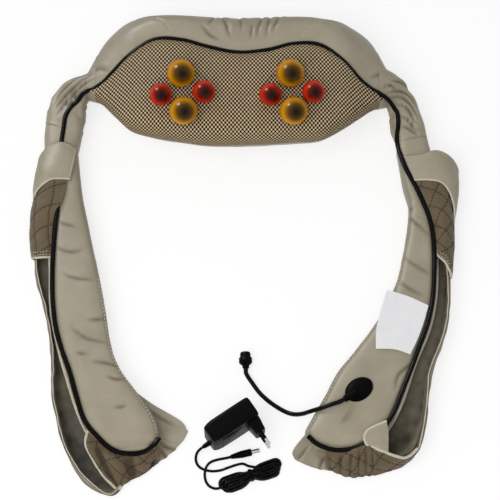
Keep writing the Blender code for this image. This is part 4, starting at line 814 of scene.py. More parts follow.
FINISHES = {
    "leather": leather,
    "mesh": air_mesh,
    "quilting": lambda c, s: cloth(
        "quilted brushed polyester", c.quilting, c.quilting_shade, 0.0016, 0.85, 0.25),
    "binding": lambda c, s: cloth("woven binding tape", c.binding, c.binding_shade, 0.0014, 0.8, 0.1),
    "lining": lambda c, s: cloth("nylon taffeta lining", c.lining, c.lining_shade, 0.0012, 0.55, 0.1),
    "label": lambda c, s: cloth("woven satin label", c.label, c.label_shade, 0.0012, 0.6, 0.0),
    "pale_thread": lambda c, s: cloth(
        "spun polyester thread, pale", c.binding, c.binding_shade, 0.0008, 0.7, 0.1),
    "dark_thread": lambda c, s: cloth(
        "spun polyester thread, dark", c.dark_thread, "#1E1813", 0.0008, 0.7, 0.1),
    "piping": lambda c, s: moulded("extruded vinyl piping", c.black, 0.30, 0.004, gloss=0.08),
    "cord": lambda c, s: moulded("pvc cord jacket", c.black, 0.32, 0.003, gloss=0.10),
    "abs": lambda c, s: moulded("moulded black abs", c.abs_black, 0.40, 0.0012, gloss=0.05),
    "rubber": lambda c, s: moulded("moulded rubber", c.black, 0.5, 0.002, gloss=0.04),
    "grey_abs": lambda c, s: moulded("moulded grey abs", "#8C8F90", 0.45, 0.0012),
    "acetal": lambda c, s: moulded("moulded acetal", "#E4E2DA", 0.35, 0.002),
    "steel": lambda c, s: moulded("turned steel", "#B9BBBD", 0.3, 0.001, 1.0),
    "bronze": lambda c, s: moulded("sintered bronze", "#A9824E", 0.45, 0.001, 1.0),
    "nickel": lambda c, s: moulded("nickel plate", "#C6C3BC", 0.18, 0.002, 1.0),
    "foam": lambda c, s: moulded("cut polyurethane foam", "#5B5650", 0.95, 0.0015),
    "board": lambda c, s: moulded("glass epoxy board", "#1E5A3A", 0.4, 0.001),
    "amber": lambda c, s: polished_ball("polished amber acrylic", c.amber_rim, c.amber, c.amber_painted_shade),
    "red": lambda c, s: polished_ball("polished red acrylic", c.red_rim, c.red, c.red_painted_shade),
}


def finish(kind):
    """The material of a kind, made when it is first asked for."""
    known = bpy.context.scene.get("massager_" + kind)
    if known:
        return bpy.data.materials[known]
    made = FINISHES[kind](bpy.context.scene.massager_colours, bpy.context.scene.massager_sizes)
    bpy.context.scene["massager_" + kind] = made.name
    return made


def hex_colour(name, description, default):
    """A colour that a user may change."""
    told = description + ", as an sRGB hex value"
    return bpy.props.StringProperty(name=name, description=told, default=default)


def metres(name, description, default):
    """A size that a user may change."""
    return bpy.props.FloatProperty(
        name=name, description=description, default=default, min=0.0001, unit="LENGTH")


class MassagerColours(bpy.types.PropertyGroup):
    """Colours of the finishes."""

    leather: hex_colour("Leather", "Imitation leather of the cover", "#9D9480")
    leather_light: hex_colour("Leather, light", "Leather where it is stretched", "#A69D89")
    # painted shade colour of the leather: creases, dips, beside the piping and along stitched edges
    leather_shade: hex_colour("Leather, shade", "Leather in its creases", "#696050")
    mesh: hex_colour("Mesh", "Strands of the mesh", "#F0DAB0")
    mesh_shade: hex_colour("Mesh, shade", "Strands of the mesh where they turn", "#BFA680")
    # painted shade inside the mesh's holes
    mesh_hole_shade: hex_colour("Mesh holes", "What shows through the mesh", "#120D09")
    quilting: hex_colour("Quilting", "Quilted hoods", "#76674F")
    # shade colour of the quilting: darker random patches, and painted shade along the stitching and in folds
    quilting_shade: hex_colour("Quilting, shade", "Quilted hoods along the stitching", "#43382A")
    binding: hex_colour("Binding", "Bound hems", "#DCD5C2")
    # shade colour of the binding: darker random patches, and painted shade in the dips under the bottom hoods
    binding_shade: hex_colour("Binding, shade", "Bound hems between the threads", "#A79F8B")
    lining: hex_colour("Lining", "Lining of the hand muffs", "#958D7A")
    # shade colour of the lining: darker random patches, and painted shade in folds and deep inside the muffs
    lining_shade: hex_colour("Lining, shade", "Lining in its folds", "#38342B")
    label: hex_colour("Label", "Blank label", "#FBFBFC")
    label_shade: hex_colour("Label, shade", "Blank label between the threads", "#E4E5E8")
    dark_thread: hex_colour("Dark thread", "Thread of the quilting", "#2C241C")
    black: hex_colour("Black", "Piping and cords", "#020202")
    abs_black: hex_colour("Black plastic", "Adapter and fittings", "#030303")
    amber: hex_colour("Amber", "Large balls", "#D69400")
    amber_rim: hex_colour("Amber, rim", "Large balls at the edge", "#BE7E00")
    # painted shade on one side of the large balls
    amber_painted_shade: hex_colour("Amber, core", "Smoked core of the large balls", "#0C0700")
    red: hex_colour("Red", "Small balls", "#D8300A")
    red_rim: hex_colour("Red, rim", "Small balls at the edge", "#BC2608")
    # painted shade on one side of the small balls
    red_painted_shade: hex_colour("Red, core", "Smoked core of the small balls", "#0E0200")


class MassagerSizes(bpy.types.PropertyGroup):
    """Sizes of the trimmings and patterns."""

    piping_radius: metres("Piping radius", "Radius of the black piping", 0.0030)
    cord_radius: metres("Cord radius", "Radius of the cord on the arm", 0.0029)
    lead_radius: metres("Lead radius", "Radius of the adapter's lead", 0.00175)
    binding_radius: metres("Binding radius", "Half the thickness of a bound hem", 0.0016)
    leather_grain: metres("Leather grain", "Width of a pebble, drawn twice as coarse to show", 0.0022)
    mesh_width: metres("Mesh width", "Width of the mesh's repeat", 0.0049)
    mesh_height: metres("Mesh height", "Height of the mesh's repeat", 0.0060)
    quilt_width: metres("Quilt width", "Width of a diamond of the quilting", 0.021)
    quilt_height: metres("Quilt height", "Height of a diamond of the quilting", 0.028)


SIDES = {
    "left": {
        "sign": -1, "body": "left_arm", "edges": LEFT_ARM, "gather": LEFT_GATHER, "creases": LEFT_CREASES,
        "folds": LEFT_FOLDS, "seam": LEFT_SEAM, "piping": LEFT_PIPING, "muff": LEFT_MUFF, "flap_from": 0.667,
        "flap_folds": LEFT_FLAP_FOLDS, "bottom_hood": LEFT_BOTTOM_HOOD, "cuff": LEFT_CUFF,
        "top_hood": LEFT_TOP_HOOD,
    },
    "right": {
        "sign": 1, "body": "right_arm", "edges": RIGHT_ARM, "gather": RIGHT_GATHER, "creases": RIGHT_CREASES,
        "folds": RIGHT_FOLDS, "seam": RIGHT_SEAM, "piping": RIGHT_PIPING, "muff": RIGHT_MUFF,
        "flap_from": 0.69, "flap_folds": RIGHT_FLAP_FOLDS, "bottom_hood": RIGHT_BOTTOM_HOOD,
        "cuff": RIGHT_CUFF, "top_hood": RIGHT_TOP_HOOD,
    },
}


def cushion_lines(section):
    """Guide lines along the cushion for the (kind, share, height) points of a section."""
    lines = []
    for kind, share, height in section:
        line = []
        for x, edge, piping, collar, crest in STATIONS:
            tucked = edge + (MESH_EDGE - height) * crest * TUCK
            base = piping + (collar - piping) * COLLAR_BASE
            start, stop = {"collar": (piping, collar), "mesh": (edge, piping), "wall": (tucked, base)}[kind]
            line.append((x, start + (stop - start) * share, crest * height))
        lines.append(line)
    return lines


def arm_surface(side):
    """Points and normals of an arm pad, down to its rounded end."""
    pad = Padding(SIDES[side]["edges"], ARM_LOW, ARM_TOP, ARM_TOP, 0.55, 0.55)
    end = 0.9 + 0.1 * np.sin(np.linspace(0.05, 1, 40) * np.pi / 2)
    share = np.concatenate([np.linspace(0, 0.9, 220), end])
    grid = pad.point(share[:, None], np.linspace(0, 360, 132, endpoint=False)[None])
    beyond = pad.middle(np.array([1.0]))[0] - pad.middle(np.array([0.96]))[0]
    beyond /= np.linalg.norm(beyond)
    middle = grid[-1].mean(0)
    rings = [grid]
    for shrink, out in ((0.97, 1.2), (0.88, 2.4), (0.7, 3.2), (0.4, 3.5)):
        rings.append((middle + (grid[-1] - middle) * shrink + beyond * out)[None])
    grid = np.concatenate(rings)
    return grid, outward(grid)


def gather_surface(side):
    """Points and normals of a gather, which starts over the cushion's end and narrows to the arm."""
    pad = Padding(SIDES[side]["gather"], GATHER_LOW, ARM_TOP, GATHER_TOP, 1.0, 0.65)
    angle = np.linspace(0, 360, 120, endpoint=False)
    sign = SIDES[side]["sign"]
    lines = cushion_lines(COLLAR_SECTION + UNDER_SECTION + MESH_SECTION)
    cushion = loft(lines, 181, 220).transpose(1, 0, 2)
    middle = pad.middle(np.array([0.0]))[0]
    rings = []
    for x in np.linspace(GATHER_FROM, abs(middle[0]), 8):
        at = sign * min(x, STATIONS[-1][0])
        y, z = (np.array([np.interp(at, line[:, 0], line[:, k]) for line in cushion]) for k in (1, 2))
        low = 0.45 * z.max()
        turn = np.degrees(np.arctan2(z - low, y - middle[1]))
        radius = np.interp(angle, turn, np.hypot(z - low, y - middle[1]) + GATHER_OVER, period=360)
        ring_y = middle[1] + radius * np.cos(np.radians(angle))
        ring_z = low + radius * np.sin(np.radians(angle))
        rings.append(np.stack([np.full(len(angle), sign * x), ring_y, ring_z], axis=-1))
    share = np.linspace(0, 1, 150)[1:]
    p = pad.point(share[:, None], angle[None])
    way, centre = pad.across(share)[:, None], pad.middle(share)[:, None]
    part = smooth(share / 0.35)[:, None]
    aside = (1 - part) * (rings[-1][:, 1] - middle[1]) + part * ((p - centre) * way).sum(-1)
    rest = centre + way * aside[..., None]
    rest[..., 2] = (1 - part) * rings[-1][:, 2] + part * p[..., 2]
    grid = np.concatenate([rings, rest])
    return grid, outward(grid)


def piping_route(side, radius):
    """The piping's middle line, from the middle of the neck over the gather to the end of the arm."""
    sign = SIDES[side]["sign"]
    lines = cushion_lines([MESH_SECTION[-1], COLLAR_SECTION[1]])
    on, after = (curve_at(line, np.linspace(0, 1, 141)) for line in lines)
    across = after - on
    across /= np.linalg.norm(across, axis=1, keepdims=True)
    up = np.cross(np.gradient(on, axis=0), across)
    up /= np.linalg.norm(up, axis=1, keepdims=True)
    top = on + across * 1.0 + up * radius
    neck = top[70::3 * sign]
    neck = neck[np.abs(neck[:, 0]) < GATHER_FROM - 8]
    gather, arm = SIDES[side]["piping"]
    parts = [neck, seat([(*p, GATHER_TOP) for p in gather], gather_surface(side), radius * 0.6),
             seat([(*p, PIPING_Z) for p in arm], arm_surface(side), radius * 0.6)]
    return evenly(curve_at(np.concatenate(parts), np.linspace(0, 1, 1200)), 2.0)


def bend(piece):
    """Bake a piece's transform into its points."""
    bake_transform(piece)


class MASSAGER_OT_cords(bpy.types.Operator):
    """Cord with its socket on the right arm, and the adapter's lead with its hank, tie and plug"""

    bl_idname = "massager.cords"
    bl_label = "Cords"

    def execute(self, context):
        sizes = context.scene.massager_sizes
        self.arm_cord(sizes.cord_radius / MM)
        self.lead(sizes.lead_radius / MM)
        return {"FINISHED"}

    def arm_cord(self, radius):
        """The short cord on the arm, from its grommet to its socket."""
        route = curve_at(CORD_ROUTE, np.linspace(0, 1, 140))
        cord = cord_curve("arm_cord", route, radius, finish("cord"))
        riding("right_arm", "black_cord", cord, stands_for=("cord",))
        mouth = [
            (0, 0), (3.6, 0), (4.3, 1.2), (4.5, 4.0), (7.4, 6.4), (8.3, 7.6), (8.4, 8.4), (8.4, 13.2),
            (8.0, 14.0), (6.6, 14.3), (6.7, 15.0), (6.7, 19.0), (6.4, 20.4), (5.6, 21.2), (4.7, 21.3),
            (4.2, 20.7), (2.9, 20.5), (2.9, 12.0), (0, 12.0),
        ]
        start = Vector(CORD_ROUTE[-1]) + Vector(SOCKET_WAY) * 0.6 + Vector((0, 0, 0.9))
        socket = turned("arm_socket", mouth, [finish("abs")], aim(start, SOCKET_WAY))
        riding("right_arm", "black_plastic", socket, stands_for=("dc_socket",))

    def lead(self, radius):
        """The adapter's lead, through its hank to the plug."""
        parts = [curve_at(LEAD_ROUTE, np.linspace(0, 1, 90)), self.hank(),
                 curve_at(TAIL_ROUTE, np.linspace(0, 1, 90))]
        route = evenly(curve_at(evenly(np.concatenate(parts), 3.0), np.linspace(0, 1, 1500)), 2.0)
        lead = cord_curve("adapter_cord", route, radius, finish("cord"))
        riding("cushion", "black_cord", lead, stands_for=("adapter_lead", "lead_hank", "lead_tail"))
        ribs = []
        for i in range(5):
            z = 1.4 + 2.2 * i
            r = 2.7 + 0.32 * i
            ribs += [(r, z), (r + 0.5, z + 0.3), (r + 0.5, z + 1.2), (r, z + 1.5)]
        body = [(0, 0), (2.4, 0)] + ribs + [(4.2, 12.6), (4.6, 13.4), (4.6, 25.6), (4.1, 26.6), (2.9, 27.0)]
        barrel = [(2.75, 27.0), (2.75, 36.2), (2.5, 37.0), (1.6, 37.0), (1.6, 30.0), (0, 30.0)]
        start = Vector(TAIL_ROUTE[-1]) - Vector(PLUG_WAY) * 1.0
        kinds = [0] * (len(body) - 1) + [1] * len(barrel)
        plug = turned("adapter_plug", body + barrel, [finish("abs"), finish("nickel")],
                      aim(start, PLUG_WAY), 40, kinds)
        riding("cushion", "black_plastic", plug, stands_for=("dc_plug",))
        tie = self.tie(radius)

    def placed(self, along, across, up):
        """Points beside the hank's axis, put in the frame."""
        x = HANK_CENTRE[0] + along * math.cos(HANK_TURN) - across * math.sin(HANK_TURN)
        y = HANK_CENTRE[1] + along * math.sin(HANK_TURN) + across * math.cos(HANK_TURN)
        return np.column_stack([x, y, up])

    def run(self, column, layer, along, left_fold, right_fold):
        """A run of the lead through the hank: flat in the two lobes, stacked in the tied waist."""
        lobe = (HANK_LOOPS / 2 - 0.5 - column) * HANK_PITCH
        ends = np.where(along > 0, right_fold, left_fold)
        flare = smooth((np.abs(along) - 12) / (HANK_REACH - 20))
        packed = np.exp(-((along / 9) ** 2))
        across = (lobe + (ends - lobe) * flare) * (1 - packed) + (1 - column // 2) * HANK_PITCH * packed
        level = layer * (1 - packed) + (2 * layer + column % 2) * packed
        return self.placed(along, across, HANK_LOW + HANK_LAYER * level)

    def hank(self):
        """Loops drawn in at the waist: upper runs lead to the right end, lower ones back to the left."""
        half = HANK_LOOPS // 2
        lobes = (HANK_LOOPS / 2 - 0.5 - np.arange(HANK_LOOPS)) * HANK_PITCH
        parts = []
        for i in range(HANK_LOOPS):
            low = (i + half) % HANK_LOOPS
            before, after = (i - 1 + half) % HANK_LOOPS, (i + 1) % HANK_LOOPS
            centres = [(lobes[j] + lobes[k]) / 2 for j, k in ((i, before), (i, low), (low, after))]
            spans = [lobes[i] - lobes[before], lobes[i] - lobes[low], lobes[low] - lobes[after]]
            turn = [math.copysign(max(HANK_FOLD, abs(span) / 2), span) for span in spans]
            reach = HANK_REACH - 2.6 * (i % 3) - 1.2 * (i // 3)
            start = 9.0 if i == 0 else -left
            left = reach
            upper = np.linspace(start, reach, 26)
            parts.append(self.run(i, 1, upper, centres[0] + turn[0], centres[1] + turn[1]))
            parts.append(self.fold(reach, centres[1], turn[1], 1, 0))
            back = np.linspace(reach, -reach, 26)
            parts.append(self.run(low, 0, back, centres[2] + turn[2], centres[1] - turn[1]))
            if i < HANK_LOOPS - 1:
                parts.append(self.fold(-reach, centres[2], turn[2], 0, 1))
        return np.concatenate(parts)

    def fold(self, reach, centre, radius, start, stop):
        """A half turn at an end of the hank, from one layer to the other."""
        angle = np.linspace(0, np.pi, 11)[1:-1]
        along = reach + math.copysign(abs(radius), reach) * np.sin(angle)
        level = start + (stop - start) * smooth(angle / np.pi)
        return self.placed(along, centre + radius * np.cos(angle), HANK_LOW + HANK_LAYER * level)

    def tie(self, radius):
        """A coated wire wound twice round the waist of the hank."""
        turn = np.linspace(0, 4 * np.pi, 97)
        across = np.sign(np.cos(turn)) * np.abs(np.cos(turn)) ** 0.5 * (HANK_PITCH + radius + 1.2)
        up = 8.3 + np.sign(np.sin(turn)) * np.abs(np.sin(turn)) ** 0.5 * 7.2
        along = np.linspace(-1.5, 1.5, 97) + 0.25 * np.sin(3 * turn)
        made = tube("hank_wire", self.placed(along, across, up), 0.85, [finish("abs")], 8)
        return riding("cushion", "black_plastic", made, stands_for=("hank_tie",))


class MASSAGER_OT_heads(bpy.types.Operator):
    """Balls and mesh facings of the two massage heads"""

    bl_idname = "massager.heads"
    bl_label = "Massage heads"

    def execute(self, context):
        for side, sign in (("left", -1), ("right", 1)):
            body = side + "_head"
            centre = Vector((sign * HEAD_X, 0, 0))
            spots = [
                ("upper_large", LARGE_BALL, math.pi / 2, "amber"),
                ("lower_large", LARGE_BALL, -math.pi / 2, "amber"),
                ("outer_small" if sign > 0 else "inner_small", SMALL_BALL, 0.0, "red"),
                ("inner_small" if sign > 0 else "outer_small", SMALL_BALL, math.pi, "red"),
            ]
            for name, sizes, turn, kind in spots:
                angle = turn + BALL_TURN
                at = centre + Vector((math.cos(angle), math.sin(angle), 0)) * sizes["orbit"]
                self.ball(side + "_" + name + "_ball", sizes, at, kind, body)
            self.facing(side, centre, body)
        return {"FINISHED"}

    def ball(self, node, sizes, at, kind, body):
        """A polished ball on its stem, with its own origin in the middle so that the painted shade stays
        centred.
        """
        radius = sizes["radius"]
        foot = DISC_TOP + 0.3 - sizes["z"]
        start = math.asin(foot / radius)
        arc = np.linspace(math.pi / 2, start, 28)
        profile = [(radius * math.cos(a), radius * math.sin(a)) for a in arc]
        profile[0] = (0, radius)
        low = STEM_LOW - sizes["z"]
        profile += [(STEM_RADIUS, foot), (STEM_RADIUS, low + 0.6), (STEM_RADIUS - 0.6, low), (0, low)]
        made = turned(node.replace("ball", "polished_ball"), profile, [finish(kind)], Matrix(), 64)
        made.location = Vector((at.x, at.y, sizes["z"])) * MM
        slot = "amber_plastic" if kind == "amber" else "red_plastic"
        riding(body, slot, made, stands_for=(node,))

    def facing(self, side, centre, body):
        """Mesh stretched over the carrier, up to the edge of its opening."""
        radius = DISC_RADIUS + DISC_GAP - FACING_GAP
        u, v = np.meshgrid(np.linspace(-1, 1, 49), np.linspace(-1, 1, 49), indexing="ij")
        x, y = radius * u * np.sqrt(1 - v * v / 2), radius * v * np.sqrt(1 - u * u / 2)
        out = np.hypot(x, y) / radius
        z = DISC_TOP + 0.5 - 0.7 * out**2 - 0.5 * out**40
        grid = np.stack([x + centre.x, y + centre.y, z], axis=-1)
        made = shell(side + "_head_facing", grid, 1.2, [finish("mesh")] * 3, 1, uv=grid[..., :2])
        riding(body, "beige_mesh", made)


class MASSAGER_OT_cushion(bpy.types.Operator):
    """Leather cover, mesh panel and foam of the neck cushion"""

    bl_idname = "massager.cushion"
    bl_label = "Neck cushion"

    def execute(self, context):
        self.cover()
        self.panel()
        self.foam()
        return {"FINISHED"}

    def cover(self):
        """Leather from the piping over the collar, under the base and up to the mesh."""
        grid = loft(cushion_lines(COLLAR_SECTION + UNDER_SECTION), 261, 130)
        grid[..., 2] = np.maximum(grid[..., 2], 0.3)
        n = facing(grid)
        if (n * (grid - (0, 30, 45))).sum() < 0:
            n = -n
        wrinkle, dip_and_shade = press(grid, COLLAR_WRINKLES, 2.6, 1.7)
        dent, dent_shade = press(grid, COLLAR_DENTS, 5.0, 1.8)
        fold, fold_shade = press(grid, COLLAR_FOLDS, 3.0, 2.0)
        seam = press(grid, COLLAR_SEAMS, 1.5, 1.3)[0]
        up = np.clip(n[..., 2] * 3 + 1.0, 0, 1)
        move = (wrinkle + dent + fold + seam) * up
        move += 0.8 * uneven(grid, 42, 1) + 0.3 * uneven(grid, 14, 2)
        move *= np.clip(grid[..., 2] / 12, 0, 1)
        puffed = grid + n * move[..., None]
        # painted shade in the wrinkles, dents and folds, on the upward faces only
        painted_shade = np.clip(np.maximum.reduce([dip_and_shade, dent_shade * 0.5, fold_shade * 0.7]), 0, 1) * up
        side = side_of(puffed, n)
        made = shell("neck_cover", puffed - n * 1.5, 3.0, [finish("leather")] * 3, side, painted_shade)
        riding("cushion", "taupe_leather", made, stands_for=("rear_cover",))
        top = (puffed[:, :70], n[:, :70])
        collar = puffed[:, :60].reshape(-1, 3)
        runs = []
        for line in COLLAR_SEAMS:
            path = curve_at(line, np.linspace(0.02, 0.98, 60))
            nearest = [np.argmin(((collar[:, :2] - p) ** 2).sum(1)) for p in path]
            seated = seat(collar[nearest], top, -0.2)
            runs.append((seated, np.tile((0.0, 0.3, 1.0), (60, 1))))
        threads = stitches("collar_seam_thread", runs, finish("pale_thread"), 4.2, 0.9, 0.45)
        riding("cushion", "taupe_leather", threads)

    def panel(self):
        """Mesh from the front seam over the crest to the piping, open round each head."""
        grid = loft(cushion_lines(MESH_SECTION), 181, 80)
        swell = 0.8 * uneven(grid, 30, 5) * np.clip((grid[..., 2] - 40) / 30, 0, 1)
        grid = grid + facing(grid) * swell[..., None]
        n = facing(grid)
        side = 1 if n[90, 40, 2] > 0 else -1
        run = np.array([run_of(line) for line in grid])
        crest = 55  # the column on top of the cushion
        uv = np.stack([grid[..., 0], run - run[:, crest, None] + grid[:, crest, 1, None]], axis=-1)
        thickness = 2.4 * np.clip((STATIONS[-1][0] - np.abs(grid[..., :1])) / 25, 0.2, 1)
        middle = grid - n * side * thickness / 2
        made = shell("neck_mesh", middle, thickness, [finish("mesh")] * 3, side, uv=uv)
        for sign in (-1, 1):
            shape = bmesh.new()
            bmesh.ops.create_cone(
                shape, cap_ends=True, segments=96, radius1=(DISC_RADIUS + DISC_GAP) * MM,
                radius2=(DISC_RADIUS + DISC_GAP) * MM, depth=0.1,
                matrix=Matrix.Translation((sign * HEAD_X * MM, 0, 0.1)),
            )
            tool_mesh = bpy.data.meshes.new("head_opening")
            shape.to_mesh(tool_mesh)
            shape.free()
            tool = linked("head_opening", tool_mesh)
            cut = made.modifiers.new("opening", "BOOLEAN")
            cut.operation, cut.solver, cut.object = "DIFFERENCE", "EXACT", tool
            bpy.context.view_layer.update()
            done = bpy.data.meshes.new_from_object(made.evaluated_get(bpy.context.evaluated_depsgraph_get()))
            made.modifiers.clear()
            made.data = done
            bpy.data.objects.remove(tool, do_unlink=True)
        riding("cushion", "beige_mesh", made, stands_for=("mesh_panel",))

    def foam(self):
        """Foam over the gearbox and round both heads: the frame's block with its cut edges softened."""
        shape = bmesh.new()
        shape.from_mesh(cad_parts["front_foam"].data)
        bmesh.ops.remove_doubles(shape, verts=shape.verts, dist=1e-6)
        bmesh.ops.dissolve_limit(shape, angle_limit=0.01, verts=shape.verts, edges=shape.edges)
        cut = [edge for edge in shape.edges if edge.is_manifold and edge.calc_face_angle() > FOAM_CORNER]
        bmesh.ops.bevel(shape, geom=cut, offset=FOAM_ROUND * MM, segments=3, profile=0.5, affect="EDGES",
                        clamp_overlap=True)
        # The bevel's points and faces come in an order that changes from run to run, so they are sorted
        points, faces = [], []
        for index, vert in enumerate(sorted(shape.verts, key=lambda vert: tuple(vert.co))):
            vert.index = index
            points.append(tuple(vert.co / MM))
        for face in shape.faces:
            ring = [vert.index for vert in face.verts]
            least = ring.index(min(ring))
            faces.append(ring[least:] + ring[:least])
        shape.free()
        made = make("gearbox_foam", points, sorted(faces), [finish("foam")])
        riding("cushion", "foam", made, stands_for=("front_foam",))


class MASSAGER_OT_gathers(bpy.types.Operator):
    """Gathered leather between the cushion and each arm"""

    bl_idname = "massager.gathers"
    bl_label = "Gathers"

    def execute(self, context):
        for side in SIDES:
            self.gather(side)
        return {"FINISHED"}

    def gather(self, side):
        """Folds over the top of a gather, and a crumpled inner side."""
        plan = SIDES[side]
        grid, n = gather_surface(side)
        count = len(grid)
        up = np.clip(n[..., 2] * 2 + 0.5, 0, 1)
        fold, fold_shade = press(grid, plan["folds"], 1.9, 3.0)
        seam, seam_shade = press(grid, [plan["seam"]], 1.1, 1.0)
        angle = np.linspace(0, 2 * np.pi, grid.shape[1], endpoint=False)[None]
        reach = (np.arange(count) / (count - 1))[:, None]
        inner = np.clip(-np.cos(angle) - 0.2, 0, 1) * smooth(reach / 0.15) * smooth((0.8 - reach) / 0.3)
        crumple = uneven(grid, 8, 4) * inner
        move = fold * up + seam * up + 0.9 * uneven(grid, 24, 6) + 3.2 * crumple
        rows = np.arange(count)[:, None]
        move = move * smooth(rows / 10) * smooth((count - 1 - rows) / 8)
        puffed = grid + n * move[..., None]
        puffed[..., 2] = np.maximum(puffed[..., 2], 0.5)
        # painted shade in the folds and seam, and in the hollows of the crumpled inner side
        painted_shade = np.clip(np.maximum(fold_shade, 0.5 * seam_shade) * up + 0.9 * np.clip(-crumple, 0, 1), 0, 1)
        points, faces = capped(puffed)
        shade_weights = np.append(painted_shade, (0, 0))
        made = make(side + "_gather_cover", points, faces, [finish("leather")], painted_shade=shade_weights)
        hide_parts(side + "_gather")
        bend(made)


class MASSAGER_OT_arms(bpy.types.Operator):
    """Padded arms with their stitched inner edges"""

    bl_idname = "massager.arms"
    bl_label = "Arm pads"

    def execute(self, context):
        radius = context.scene.massager_sizes.piping_radius / MM
        for side in SIDES:
            self.pad(side, piping_route(side, radius))
        return {"FINISHED"}

    def pad(self, side, piping):
        """A stuffed arm, drawn in along the piping and along its stitched inner edge."""
        plan = SIDES[side]
        grid, n = arm_surface(side)
        up = np.clip(n[..., 2] * 2.5, 0, 1)
        crease, dip_and_shade = press(grid, plan["creases"], 2.4, 1.3)
        beside = closeness(grid, piping, 4.5)
        column = round(152 / 360 * grid.shape[1])
        edge = closeness(grid, grid[::2, column], 2.2)
        move = (crease * up + 1.1 * uneven(grid, 46, 11) + 0.4 * uneven(grid, 17, 12)) * (1 - beside)
        move -= 1.6 * beside + 1.0 * edge
        rows = np.arange(len(grid))[:, None]
        move = move * np.clip(np.minimum(rows, len(grid) - 1 - rows) / 6, 0, 1)
        puffed = grid + n * move[..., None]
        puffed[..., 2] = np.maximum(puffed[..., 2], 1.2)
        # painted shade in the creases, along the stitched inner edge and beside the piping
        painted_shade = np.clip(dip_and_shade * up + 0.25 * edge + 0.5 * beside, 0, 1)
        points, faces = capped(puffed)
        shade_weights = np.append(painted_shade, (0, 0))
        made = make(side + "_arm_cover", points, faces, [finish("leather")], painted_shade=shade_weights)
        riding(plan["body"], "taupe_leather", made, stands_for=(side + "_arm_pad",))
        first, last = round(0.30 * len(grid)), round(0.93 * len(grid))
        run = (puffed[first:last, column], n[first:last, column])
        threads = stitches(side + "_edge_thread", [run], finish("pale_thread"), 2.8, 2.2, 0.75)
        riding(plan["body"], "taupe_leather", threads)


class MASSAGER_OT_piping(bpy.types.Operator):
    """Black piping from the middle of the neck to the end of each arm, and the pale strip beside it"""

    bl_idname = "massager.piping"
    bl_label = "Piping"

    def execute(self, context):
        radius = context.scene.massager_sizes.piping_radius / MM
        for side in SIDES:
            path = piping_route(side, radius)
            made = tube(side + "_piping", path, radius, [finish("piping")], 14)
            nodes = ["neck_piping", "left_arm_piping"] if side == "left" else ["right_arm_piping"]
            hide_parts(*nodes)
            bend(made)
            self.strip(side, path, radius)
        return {"FINISHED"}

    def strip(self, side, piping, radius):
        """Pale turned edge of the leather, outside the piping from the hood to the end of the arm."""
        sign = SIDES[side]["sign"]
        beside = piping[(piping[:, 1] < -182) & (piping[:, 1] > -424) & (piping[:, 0] * sign > 150)]
        way = np.gradient(beside, axis=0)
        out = np.cross(way, (0, 0, 1)) * -sign
        out *= np.sign((out[:, :1] * sign).mean())
        out /= np.linalg.norm(out, axis=1, keepdims=True)
        path = seat(beside[::4] + out[::4] * (radius + 1.8) - (0, 0, 3.5), arm_surface(side), 0.7)
        for _ in range(12):
            path[1:-1] = (path[:-2] + 2 * path[1:-1] + path[2:]) / 4
        made = tube(side + "_edge_strip", evenly(path, 2.5), 1.9, [finish("binding")], 10)
        riding(SIDES[side]["body"], "taupe_leather", made)


